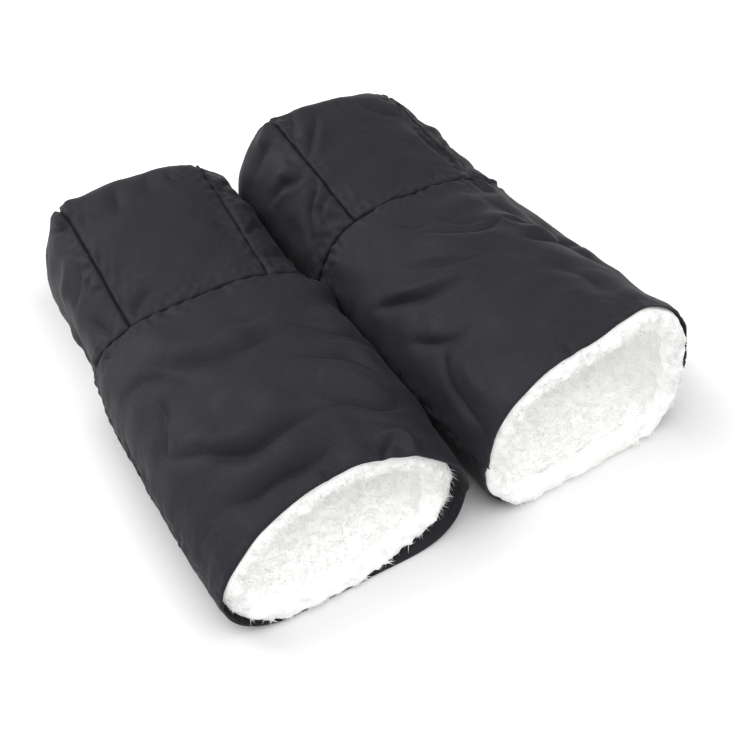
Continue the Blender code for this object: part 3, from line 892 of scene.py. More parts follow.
@dataclass(frozen=True)
class WovenPolyester:
    """Plain-woven polyester, dyed in the yarn and calendered: a dark, even cloth with a low sheen.

    The threads are about 0.3 mm apart on the real cloth, which is finer than a pixel, so the weave is drawn
    at 1.5 mm to leave a faint cross-hatch, with slubs as uneven yarn has. Broad drifts of roughness give the
    soft patches of light. Shade is painted into the colour along the seams and the bottoms of crisp folds, by
    the attribute seam_shade.
    """

    colour: str = "201E24"
    light_colour: str = "302E34"
    painted_shade_colour: str = "111114"
    thread_pitch: float = 0.0015
    slub_size: float = 0.0024
    weave_tint: float = 0.7
    slub_tint: float = 1.1
    base_tint: float = -0.1
    drift_size: float = 0.045

    def make(self) -> bpy.types.Material:
        """Builds the material."""
        material, add, shader = new_material("woven_polyester")
        place = add("ShaderNodeTexCoord")
        spread = add(
            "ShaderNodeVectorMath", {0: place.outputs["UV"], 3: math.tau / self.thread_pitch},
            operation="SCALE",
        )
        axes = add("ShaderNodeSeparateXYZ", {0: spread})
        warp = add("ShaderNodeMath", {0: axes}, operation="SINE")
        weft = add("ShaderNodeMath", {0: axes.outputs[1]}, operation="SINE")
        weave = add("ShaderNodeMath", {0: warp, 1: weft}, operation="MULTIPLY")
        drift = add(
            "ShaderNodeTexNoise",
            {"Vector": place.outputs["Object"], "Scale": 1.0 / self.drift_size, "Detail": 3.0},
        )
        slub = add(
            "ShaderNodeTexNoise",
            {"Vector": place.outputs["Object"], "Scale": 1.0 / self.slub_size, "Detail": 3.0},
        )
        tint = add(
            "ShaderNodeMath", {0: weave, 1: self.weave_tint, 2: self.base_tint}, operation="MULTIPLY_ADD"
        )
        tint = add(
            "ShaderNodeMath", {0: slub.outputs["Fac"], 1: self.slub_tint, 2: tint}, operation="MULTIPLY_ADD"
        )
        cloth = add(
            "ShaderNodeMix", {0: tint, 6: hex_to_linear(self.colour), 7: hex_to_linear(self.light_colour)},
            data_type="RGBA",
        )
        # Painted shade: seams and the bottoms of crisp folds are mixed towards painted_shade_colour.
        seam = add("ShaderNodeAttribute", attribute_name="seam_shade")
        dark = add(
            "ShaderNodeMix",
            {0: seam.outputs["Fac"], 6: cloth.outputs[2], 7: hex_to_linear(self.painted_shade_colour)},
            data_type="RGBA",
        )
        rough = add(
            "ShaderNodeMapRange",
            {"Value": drift.outputs["Fac"], "From Min": 0.3, "From Max": 0.7, "To Min": 0.62, "To Max": 0.76},
        )
        bump = add("ShaderNodeBump", {"Height": weave, "Strength": 0.25, "Distance": 0.00012})
        feed(shader, {"Base Color": dark.outputs[2], "Roughness": rough, "Normal": bump})
        feed(shader, {"Specular IOR Level": 0.26, "Sheen Weight": 0.03, "Sheen Roughness": 0.4})
        return material


@dataclass(frozen=True)
class PileFleece:
    """Polyester pile fleece, knitted and brushed: bright, matt and soft, with shade painted in where it is
    deep.

    Real fibres pass light on to one another, which these few solid blades can't, so a little glow stands in.
    The attribute depth_shade paints shade into the fleece deep inside the tube, and gives single
    blades a random grey tone.
    """

    colour: str = "FBFBFA"
    root_colour: str = "F0EFED"
    tuft_size: float = 0.004
    deep_shade_and_tone_colour: str = "E0E0E0"
    glow: float = 0.24
    scatter: float = 0.002

    def make(self) -> bpy.types.Material:
        """Builds the material."""
        material, add, shader = new_material("pile_fleece")
        place = add("ShaderNodeTexCoord")
        tufts = add(
            "ShaderNodeTexNoise",
            {
                "Vector": place.outputs["Object"], "Scale": 1.0 / self.tuft_size, "Detail": 4.0,
                "Roughness": 0.65,
            },
        )
        share = add("ShaderNodeMapRange", {"Value": tufts.outputs["Fac"], "From Min": 0.3, "From Max": 0.65})
        colour = add(
            "ShaderNodeMix", {0: share, 6: hex_to_linear(self.root_colour), 7: hex_to_linear(self.colour)},
            data_type="RGBA",
        )
        # Painted shade deep in the tube, and a random grey tone on single blades.
        depth = add("ShaderNodeAttribute", attribute_name="depth_shade")
        colour = add(
            "ShaderNodeMix",
            {0: depth.outputs["Fac"], 6: colour.outputs[2], 7: hex_to_linear(self.deep_shade_and_tone_colour)},
            data_type="RGBA",
        )
        bump = add("ShaderNodeBump", {"Height": tufts.outputs["Fac"], "Strength": 0.25, "Distance": 0.0012})
        tint = colour.outputs[2]
        feed(
            shader,
            {"Base Color": tint, "Normal": bump, "Emission Color": tint, "Emission Strength": self.glow},
        )
        feed(shader, {"Roughness": 0.95, "Specular IOR Level": 0.1, "Sheen Weight": 0.2})
        feed(shader, {"Subsurface Weight": 0.45, "Subsurface Radius": (1.0, 1.0, 1.0)})
        feed(shader, {"Subsurface Scale": self.scatter})
        return material


@dataclass(frozen=True)
class PaintedBrass:
    """Pressed brass, painted black: a low gloss with a few bright rubs on its turned edges."""

    colour: str = "1B1B1D"
    rub_colour: str = "55524C"
    rub_size: float = 0.0016

    def make(self) -> bpy.types.Material:
        """Builds the material."""
        material, add, shader = new_material("painted_brass")
        place = add("ShaderNodeTexCoord")
        rubs = add(
            "ShaderNodeTexNoise",
            {"Vector": place.outputs["Object"], "Scale": 1.0 / self.rub_size, "Detail": 3.0},
        )
        share = add("ShaderNodeMapRange", {"Value": rubs.outputs["Fac"], "From Min": 0.55, "From Max": 0.75})
        colour = add(
            "ShaderNodeMix", {0: share, 6: hex_to_linear(self.colour), 7: hex_to_linear(self.rub_colour)},
            data_type="RGBA",
        )
        rough = add("ShaderNodeMapRange", {"Value": rubs.outputs["Fac"], "To Min": 0.28, "To Max": 0.5})
        feed(shader, {"Base Color": colour.outputs[2], "Roughness": rough, "Metallic": 0.85})
        return material


@dataclass(frozen=True)
class SewingThread:
    """Twisted polyester thread: near black, with lighter diagonal bands along the slant of its ply as painted
    highlights.
    """

    colour: str = "2B2A2E"
    ply_highlight_colour: str = "4A494E"
    ply_pitch: float = 0.0006

    def make(self) -> bpy.types.Material:
        """Builds the material."""
        material, add, shader = new_material("sewing_thread")
        place = add("ShaderNodeTexCoord")
        turns = add(
            "ShaderNodeTexWave",
            {"Vector": place.outputs["Object"], "Scale": 0.05 / self.ply_pitch, "Distortion": 0.4},
            bands_direction="DIAGONAL",
        )
        # Painted highlights: lighter diagonal bands along the ply.
        colour = add(
            "ShaderNodeMix",
            {0: turns.outputs["Fac"], 6: hex_to_linear(self.colour), 7: hex_to_linear(self.ply_highlight_colour)},
            data_type="RGBA",
        )
        feed(shader, {"Base Color": colour.outputs[2], "Roughness": 0.6})
        return material


@dataclass(frozen=True)
class StudioFloor:
    """Matt white card: it keeps the muffs' soft shadow and fades to plain white further out."""

    colour: str = "F0F0F0"
    shadow_half: float = 0.19
    fade_reach: float = 0.22
    grain_size: float = 1.0 / 300.0

    def make(self) -> bpy.types.Material:
        """Builds the material."""
        material, add, shader = new_material("white_card")
        path = add("ShaderNodeLightPath")
        seen = add(
            "ShaderNodeMath", {0: path.outputs["Is Camera Ray"], 1: path.outputs["Is Glossy Ray"]},
            operation="ADD",
        )
        seen = add(
            "ShaderNodeMath", {0: seen, 1: path.outputs["Is Transmission Ray"]}, operation="ADD",
            use_clamp=True,
        )
        place = add("ShaderNodeTexCoord")
        half = (self.shadow_half, self.shadow_half, 1.0)
        away = add("ShaderNodeVectorMath", {0: place.outputs["Object"]}, operation="ABSOLUTE")
        away = add("ShaderNodeVectorMath", {0: away, 1: half}, operation="SUBTRACT")
        away = add("ShaderNodeVectorMath", {0: away, 1: (0.0, 0.0, 0.0)}, operation="MAXIMUM")
        away = add("ShaderNodeVectorMath", {0: away}, operation="LENGTH")
        fade = add("ShaderNodeMapRange", {"Value": away.outputs["Value"], "From Max": self.fade_reach})
        glow = add("ShaderNodeMath", {0: seen, 1: fade}, operation="MULTIPLY")
        grain = add("ShaderNodeTexNoise", {"Scale": 1.0 / self.grain_size})
        rough = add("ShaderNodeMapRange", {"Value": grain.outputs["Fac"], "To Min": 0.9, "To Max": 1.0})
        feed(
            shader, {"Emission Strength": glow, "Roughness": rough, "Base Color": hex_to_linear(self.colour)}
        )
        feed(shader, {"Emission Color": (1.0, 1.0, 1.0, 1.0), "Specular IOR Level": 0.0})
        return material


@dataclass(frozen=True)
class Finishes:
    """The finished materials that the pieces are dressed in."""

    shell: bpy.types.Material
    fleece: bpy.types.Material
    metal: bpy.types.Material
    thread: bpy.types.Material

    @classmethod
    def make(cls) -> Finishes:
        """Builds every material once."""
        return cls(WovenPolyester().make(), PileFleece().make(), PaintedBrass().make(), SewingThread().make())


@dataclass(frozen=True)
class Seat:
    """Where a muff stands: the turn and the place that carry its own frame into the row frame."""

    turn: Matrix
    origin: Vector

    @classmethod
    def from_hinge(cls, joint: dict, sizes: PatternSizes = SIZES) -> Seat:
        """Works a muff's place out from its flap's hinge.

        Args:
            joint: The hinge as the frame lists it.
            sizes: The muff's sizes.

        Returns:
            The muff's place.
        """
        across = Vector(joint["axis"]).normalized()
        along = Vector((0.0, 0.0, 1.0)).cross(across)
        turn = Matrix((across, along, Vector((0.0, 0.0, 1.0)))).transposed()
        hinge = Vector((0.0, sizes.hinge_place, sizes.hinge_height))
        return cls(turn, Vector(joint["pos_m"]) - turn @ hinge)

    def place(self, points: np.ndarray) -> np.ndarray:
        """Carries points from the muff's own frame into the row frame.

        Args:
            points: Points in the muff's frame.

        Returns:
            The points in the row frame.
        """
        return points @ np.array(self.turn).T + np.array(self.origin)


def mesh_object(name: str, points: np.ndarray, faces: list, material: bpy.types.Material) -> bpy.types.Object:
    """Makes a smooth mesh object at the origin.

    Args:
        name: The object's name.
        points: Its points in the row frame.
        faces: Its faces as lists of point numbers.
        material: Its finish.

    Returns:
        The object, linked to the scene.
    """
    mesh = bpy.data.meshes.new(name)
    mesh.from_pydata(points.reshape(-1, 3).tolist(), [], faces)
    mesh.shade_smooth()
    mesh.materials.append(material)
    thing = bpy.data.objects.new(name, mesh)
    bpy.context.scene.collection.objects.link(thing)
    return thing


def grid_faces(rows: int, columns: int, start: int = 0) -> np.ndarray:
    """The square faces of a grid.

    Args:
        rows: How many rows of points.
        columns: How many points a row has.
        start: The number of the grid's first point.

    Returns:
        One row of four point numbers for each face.
    """
    numbers = np.arange(rows * columns).reshape(rows, columns) + start
    corners = (numbers[:-1, :-1], numbers[:-1, 1:], numbers[1:, 1:], numbers[1:, :-1])
    return np.stack([corner.reshape(-1) for corner in corners], axis=1)


def faces_outward(patch: Patch) -> bool:
    """Whether the square faces of a patch's grid point the way that its directions do."""
    i, j = patch.rows // 2, patch.columns // 2
    across = patch.points[i, j + 1] - patch.points[i, j]
    along = patch.points[i + 1, j] - patch.points[i, j]
    return bool(np.cross(across, along) @ patch.normals[i, j] > 0.0)


def closed_layer(
    name: str, outer: Patch, inner: np.ndarray, seat: Seat, material: bpy.types.Material
) -> bpy.types.Object:
    """A closed padded piece between an outer skin and an inner one.

    Args:
        name: The object's name.
        outer: The outer skin.
        inner: The inner skin's points, in the same grid.
        seat: The muff's place.
        material: The finish.

    Returns:
        The object, with a UV map in metres along the cloth.
    """
    rows, columns = outer.rows, outer.columns
    count = rows * columns
    front = grid_faces(rows, columns)
    back = grid_faces(rows, columns, count)[:, ::-1]
    border = [(0, j) for j in range(columns - 1)]
    border += [(i, columns - 1) for i in range(rows - 1)]
    border += [(rows - 1, j) for j in range(columns - 1, 0, -1)]
    border += [(i, 0) for i in range(rows - 1, 0, -1)]
    ring = [i * columns + j for i, j in border]
    walls = [(there, here, here + count, there + count) for here, there in zip(ring, ring[1:] + ring[:1])]
    faces = np.concatenate([front, back, np.array(walls)])
    if not faces_outward(outer):
        faces = faces[:, ::-1]
    points = np.concatenate([outer.points.reshape(-1, 3), inner.reshape(-1, 3)])
    thing = mesh_object(name, seat.place(points), faces.tolist(), material)
    spread = np.stack([outer.arc(1) - outer.arc(1)[:, columns // 2][:, None], outer.arc(0)], axis=-1)
    write_uv(thing, np.tile(spread.reshape(-1, 2), (2, 1)))
    return thing


def write_uv(thing: bpy.types.Object, places: np.ndarray) -> None:
    """Gives a mesh a UV map from one place for each point.

    Args:
        thing: The mesh object.
        places: Two numbers for each point, in metres.
    """
    mesh = thing.data
    corners = np.zeros(len(mesh.loops), int)
    mesh.loops.foreach_get("vertex_index", corners)
    layer = mesh.uv_layers.new(name="cloth")
    layer.data.foreach_set("uv", places[corners].astype(np.float32).reshape(-1))


def write_attribute(thing: bpy.types.Object, name: str, values: np.ndarray) -> None:
    """Gives a mesh one number, or one direction, for each point.

    Args:
        thing: The mesh object.
        name: The attribute's name.
        values: The numbers, or rows of three for directions.
    """
    kind, key = ("FLOAT_VECTOR", "vector") if values.ndim == 2 else ("FLOAT", "value")
    attribute = thing.data.attributes.new(name, kind, "POINT")
    attribute.data.foreach_set(key, values.astype(np.float32).reshape(-1))


def spaced(length: float, spacing: float) -> int:
    """How many points a line of that length needs at about that spacing."""
    return max(4, int(round(length / spacing)) + 1)


@dataclass(frozen=True)
class PanelCutter:
    """Cuts a muff's outer surface into the grids of its panels."""

    form: MuffForm
    spacing: float
    arch_samples: int = 241
    side_samples: int = 60
    way_samples: int = 240
    whole_way: float = 3.0
    outward_limit: float = 1.98
    gusset_limit: float = 1.96
    blend_rows: int = 3

    def body(self, upper: bool, start: float = 0.0) -> Patch:
        """The body's upper or under side.

        Args:
            upper: Whether to cut the upper side.
            start: Where the grid starts, along the muff.

        Returns:
            The panel, its rows running from the mouth to the cross seam.
        """
        form, size = self.form, self.form.sizes
        places = np.linspace(
            start, size.body_length - size.clearance / 2, spaced(size.body_length, self.spacing)
        )
        lines = []
        for y in places:
            if upper:
                dense = form.upper_row(y, np.linspace(0.0, math.pi, self.arch_samples))
            else:
                dense = form.under_row(y, self.side_samples)
            lines.append(dense)
        girth = np.linalg.norm(np.diff(lines[len(lines) // 2], axis=0), axis=1).sum()
        columns = spaced(girth, self.spacing)
        grid = np.array([even_row(line, columns) for line in lines])
        drawn = form.drawn(grid, upper)
        if upper:
            shares = np.linspace(0.0, 1.0, columns)
            shifts = np.array(form.hem_shifts)
            knots = np.stack([np.linspace(0.0, 1.0, len(shifts)), shifts, np.zeros(len(shifts))], axis=1)
            curve = smooth_line(knots, 8 * len(shifts))
            fade = unit(1.0 - places / size.hem_reach) ** 2
            drawn[..., 1] += np.interp(shares, curve[:, 0], curve[:, 1])[None, :] * fade[:, None]
        return Patch(drawn, form.outward(grid, upper))

    def travels(self) -> np.ndarray:
        """Evenly spaced shares of the way over the cap and down its wall, as strip_row counts them."""
        dense = np.linspace(0.0, self.whole_way, self.way_samples)
        arc = arc_lengths(np.array([self.form.strip_row(np.zeros(1), travel)[0] for travel in dense]))
        return np.interp(np.linspace(0.0, arc[-1], spaced(arc[-1], self.spacing)), arc, dense)

    def gusset_travels(self) -> np.ndarray:
        """Evenly spaced shares of the way over the cap, up to where the gussets end."""
        travels = self.travels()
        return travels[travels <= self.gusset_limit]

    def strip(self) -> Patch:
        """The strip over the cap and down its end wall, with rows from the cross seam to the flap's fold."""
        form, half = self.form, self.form.sizes.half_strip
        x = np.linspace(half, -half, spaced(2 * half, self.spacing))
        travels = self.travels()
        grid = np.array([form.strip_row(x, travel) for travel in travels])
        normals = np.cross(np.gradient(grid, axis=0), np.gradient(grid, axis=1))
        normals /= np.linalg.norm(normals, axis=-1, keepdims=True)
        over = travels <= self.outward_limit
        normals[over] = form.outward(grid[over], True)
        first = int(over.sum())
        for step in range(self.blend_rows):
            share = (step + 1) / (self.blend_rows + 1)
            blended = normals[first - 1] * (1 - share) + normals[first + step] * share
            normals[first + step] = blended / np.linalg.norm(blended, axis=-1, keepdims=True)
        return Patch(grid, normals)

    def gusset(self, side: int) -> Patch:
        """One gusset, its columns running from the strip's edge down to the hem.

        Args:
            side: 1 for the right gusset, -1 for the left one.

        Returns:
            The panel.
        """
        edge = self.form.gusset_row(0.0, side, self.side_samples)
        columns = spaced(np.linalg.norm(np.diff(edge, axis=0), axis=1).sum(), self.spacing)
        rows = [self.form.gusset_row(travel, side, self.side_samples) for travel in self.gusset_travels()]
        grid = np.array([even_row(row, columns) for row in rows])
        return Patch(grid, self.form.outward(grid, True))

    def panel(self, panel: Panel) -> Patch:
        """Any one panel."""
        if panel in (Panel.BODY_UPPER, Panel.BODY_UNDER):
            return self.body(panel is Panel.BODY_UPPER)
        if panel is Panel.CAP_STRIP:
            return self.strip()
        return self.gusset(1 if panel is Panel.RIGHT_GUSSET else -1)


# How each panel's first row, last row, first column and last column turn in.
PANEL_EDGES: dict[Panel, dict[Edge, EdgeStyle]] = {
    panel: dict(zip(Edge, styles))
    for panel, styles in (
        (Panel.BODY_UPPER, (TURNED_HEM, SEAM, SIDE_SEAM, SIDE_SEAM)),
        (Panel.BODY_UNDER, (TURNED_HEM, TURNED_HEM, SIDE_SEAM, SIDE_SEAM)),
        (Panel.CAP_STRIP, (SEAM, PLAIN_END, SEAM, SEAM)),
        (Panel.RIGHT_GUSSET, (SEAM, PLAIN_END, SEAM, TURNED_HEM)),
        (Panel.LEFT_GUSSET, (SEAM, PLAIN_END, SEAM, TURNED_HEM)),
    )
}
REPLACED_NODES: dict[Panel, tuple[str, ...]] = {
    Panel.BODY_UPPER: ("body_upper_panel", "body_upper_wadding"),
    Panel.BODY_UNDER: ("body_under_panel", "body_under_wadding"),
    Panel.CAP_STRIP: ("cap_top_panel", "cap_wadding"),
    Panel.RIGHT_GUSSET: ("cap_right_gusset",),
    Panel.LEFT_GUSSET: ("cap_left_gusset",),
}


@dataclass
class ShellPanels:
    """The padded woven shell of one muff: two body panels, the cap's strip and its two gussets."""

    form: MuffForm
    seat: Seat
    finishes: Finishes
    folds: dict[Panel, tuple[Fold, ...]]
    seed: int
    spacing: float = 0.0018
    drift: float = 0.0006
    drift_size: float = 0.034
    under_calm: float = 0.3
    creasing: float = 0.0004
    # How strong the painted shade is at the bottom of crisp folds, the fold depth at which it is full, and
    # the width of the painted shade line along seams.
    crease_shade: float = 0.55
    full_shade_depth: float = 0.0036
    seam_line: float = 0.0010
    edge_blend: float = 0.004
    crease_scale: float = 1.35
    crease_spread: float = 0.82
    fold_scale: float = 1.75
    fold_spread: float = 1.1
    patches: dict[Panel, Patch] = field(default_factory=dict)
    smooth_patches: dict[Panel, Patch] = field(default_factory=dict)
    cloth: dict[Panel, np.ndarray] = field(default_factory=dict)

    @property
    def body(self) -> str:
        """The frame's body that the shell rides on."""
        return f"{self.form.name}_muff"

    def relief(self, panel: Panel, patch: Patch, cloth: np.ndarray | float) -> np.ndarray:
        """All that moves a panel's outer skin: folds, sewn edges, cloth relief and a slow drift.

        Args:
            panel: Which panel.
            patch: Its smooth grid.
            cloth: The simulated relief.

        Returns:
            The offsets in metres.
        """
        total = edge_relief(patch, PANEL_EDGES[panel], self.seed + 7 * len(panel.value))
        calm = self.under_calm if panel is Panel.BODY_UNDER else 1.0
        total = total + calm * self.drift * soft_noise(patch.points, self.drift_size, self.seed + 1)
        total = total + calm * self.creasing * Crumple().heights(patch.points, self.seed + 17)
        total = total + calm * cloth
        for fold in self.folds.get(panel, ()):
            crisp = fold.ridge > 0.0
            spread = self.crease_spread if crisp else self.fold_spread
            scale = self.crease_scale if crisp else self.fold_scale
            total = total + scale * fold_relief(patch, replace(fold, width=fold.width * spread))[0]
        return total

    def inner_skin(self, panel: Panel, smooth: Patch, outer: Patch) -> np.ndarray:
        """The inner skin: close behind the outer one at the mouth, and behind the wadding elsewhere.

        Args:
            panel: Which panel.
            smooth: Its smooth grid.
            outer: Its finished outer skin.

        Returns:
            The inner skin's points.
        """
        size = self.form.sizes
        depth = size.wadding_depth + size.wadding_thickness
        deep = smooth.points - smooth.normals * depth
        if panel not in (Panel.BODY_UPPER, Panel.BODY_UNDER):
            return deep
        thin = outer.points - outer.normals * size.shell_thickness
        along = smooth.arc(0)
        share = unit((along - self.form.padding_start) / self.edge_blend)[..., None]
        return thin * (1 - share) + deep * share

    def build(self) -> list[bpy.types.Object]:
        """Builds the panels with their folds and their settled cloth, and returns the pieces."""
        pieces = []
        cutter = PanelCutter(self.form, self.spacing)
        for panel in Panel:
            smooth = cutter.panel(panel)
            settled = 0.0
            if panel in self.cloth:
                settled = refined(self.cloth[panel], smooth.rows, smooth.columns)
            outer = smooth.moved(self.relief(panel, smooth, settled))
            if panel is Panel.BODY_UNDER:
                outer.points[..., 2] = np.maximum(outer.points[..., 2], 0.0)
            self.patches[panel] = outer
            self.smooth_patches[panel] = smooth
            name = f"{self.form.name}_{panel.value}_shell"
            inner = self.inner_skin(panel, smooth, outer)
            piece = closed_layer(name, outer, inner, self.seat, self.finishes.shell)
            # Painted shade along the seams and the crease bottoms, read by the shell's material.
            write_attribute(piece, "seam_shade", self.seam_shade(panel, smooth, outer))
            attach(piece, self.body)
            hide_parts(*(f"{self.form.name}_{node}" for node in REPLACED_NODES[panel]))
            pieces.append(piece)
        return pieces

    def seam_shade(self, panel: Panel, smooth: Patch, outer: Patch) -> np.ndarray:
        """How much shade is painted into the cloth where it turns into a seam or doubles over in a crisp
        fold.

        The bottom of a real crease is narrower than the mesh can fold, so a line of painted shade stands in
        for its shadow.

        Args:
            panel: Which panel.
            smooth: Its smooth grid.
            outer: Its outer skin.

        Returns:
            A share for every point of both skins.
        """
        shade = np.zeros(outer.points.shape[:-1])
        for fold in self.folds.get(panel, ()):
            strength = self.crease_shade * min(1.0, fold.depth / self.full_shade_depth)
            shade = np.maximum(shade, strength * fold_relief(smooth, fold)[1])
        for edge, style in PANEL_EDGES[panel].items():
            if style is SEAM:
                shade = np.maximum(shade, np.exp(-((outer.edge_distance(edge) / self.seam_line) ** 2)))
        return np.tile(shade.reshape(-1), 2)


@dataclass(frozen=True)
class SlackCloth:
    """Settles the panels' slack cloth with a simulation.

    Each panel is a coarse sheet, sewn down at its borders and held softly to its padding. It is cut longer
    than its place, mostly along the muff, so it buckles into small folds that run across.
    """

    spacing: float = 0.0048
    slack_across: float = 1.008
    slack_along: float = 1.026
    hold: float = 0.05
    pressure: float = 0.6
    frames: int = 20
    cap: float = 0.0035
    ruffle: float = 0.00025
    ruffle_size: float = 0.016

    def sheet(self, shell: ShellPanels, panel: Panel, patch: Patch) -> bpy.types.Object:
        """One panel as a coarse sheet of cloth.

        Args:
            shell: The muff's shell.
            panel: Which panel.
            patch: Its coarse grid, already folded.

        Returns:
            The sheet, with its cloth set up.
        """
        name = f"{shell.form.name}_{panel.value}_sheet"
        start = patch.moved(self.ruffle * soft_noise(patch.points, self.ruffle_size, shell.seed + 3))
        faces = grid_faces(patch.rows, patch.columns)
        if not faces_outward(start):
            faces = faces[:, ::-1]
        sheet = mesh_object(name, start.points, faces.tolist(), shell.finishes.shell)
        sheet.shape_key_add(name="Basis")
        slack = sheet.shape_key_add(name="Slack")
        longer = start.points * np.array([self.slack_across, self.slack_along, 1.0])
        slack.data.foreach_set("co", longer.astype(np.float32).reshape(-1))
        slack.value = 0.0
        weights = np.full((patch.rows, patch.columns), self.hold)
        for border in (np.s_[0], np.s_[-1], np.s_[:, 0], np.s_[:, -1]):
            weights[border] = 1.0
        group = sheet.vertex_groups.new(name="hold")
        for index, weight in enumerate(weights.reshape(-1)):
            group.add([index], float(weight), "REPLACE")
        cloth = sheet.modifiers.new("Cloth", "CLOTH")
        cloth.collision_settings.use_collision = False
        cloth.point_cache.frame_end = self.frames
        settings = cloth.settings
        settings.quality = 6
        settings.mass = 0.08
        settings.tension_stiffness = 20.0
        settings.compression_stiffness = 20.0
        settings.shear_stiffness = 6.0
        settings.bending_stiffness = 0.15
        settings.air_damping = 3.0
        settings.vertex_group_mass = "hold"
        settings.rest_shape_key = slack
        settings.use_pressure = True
        settings.uniform_pressure_force = self.pressure
        settings.effector_weights.gravity = 0.0
        return sheet

    def settle(self, shells: list[ShellPanels]) -> None:
        """Simulates all the panels together and hands each shell the relief of its panels.

        Args:
            shells: The shells of both muffs.
        """
        sheets = []
        for shell in shells:
            cutter = PanelCutter(shell.form, self.spacing)
            for panel in Panel:
                if panel is Panel.BODY_UNDER:
                    continue
                smooth = cutter.panel(panel)
                folded = smooth.moved(shell.relief(panel, smooth, 0.0))
                sheets.append((shell, panel, folded, self.sheet(shell, panel, folded)))
        scene = bpy.context.scene
        for frame in range(1, self.frames + 1):
            scene.frame_set(frame)
        view = bpy.context.evaluated_depsgraph_get()
        for shell, panel, folded, sheet in sheets:
            settled = sheet.evaluated_get(view).to_mesh()
            points = np.empty(len(settled.vertices) * 3, dtype=np.float32)
            settled.vertices.foreach_get("co", points)
            away = points.reshape(folded.points.shape) - folded.points
            rise = np.einsum("ijk,ijk->ij", away, folded.normals)
            LOG.info("%s settles by %.2f to %.2f mm", sheet.name, 1e3 * rise.min(), 1e3 * rise.max())
            shell.cloth[panel] = np.clip(evened(rise), -self.cap, self.cap)
        for _, _, _, sheet in sheets:
            bpy.data.objects.remove(sheet, do_unlink=True)
        scene.frame_set(1)


def evened(values: np.ndarray) -> np.ndarray:
    """A grid of values with each one averaged with its neighbours, twice, and the borders kept."""
    values = values.copy()
    for _ in range(2):
        values[1:-1] = (values[:-2] + 2 * values[1:-1] + values[2:]) / 4
        values[:, 1:-1] = (values[:, :-2] + 2 * values[:, 1:-1] + values[:, 2:]) / 4
    return values


def refined(values: np.ndarray, rows: int, columns: int) -> np.ndarray:
    """Values on a coarse grid, read smoothly on a finer one.

    Args:
        values: The coarse grid's values.
        rows: The finer grid's rows.
        columns: Its columns.

    Returns:
        The finer grid's values.
    """
    for axis, count in ((0, rows), (1, columns)):
        places = np.arange(values.shape[axis], dtype=float)
        wanted = np.linspace(0.0, places[-1], count)
        slopes = np.gradient(values, axis=axis)
        low = np.clip(wanted.astype(int), 0, len(places) - 2)
        shape = (-1, 1) if axis == 0 else (1, -1)
        t = (wanted - low).reshape(shape)
        near, far = np.take(values, low, axis), np.take(values, low + 1, axis)
        values = hermite(near, far, np.take(slopes, low, axis), np.take(slopes, low + 1, axis), t)
    return values


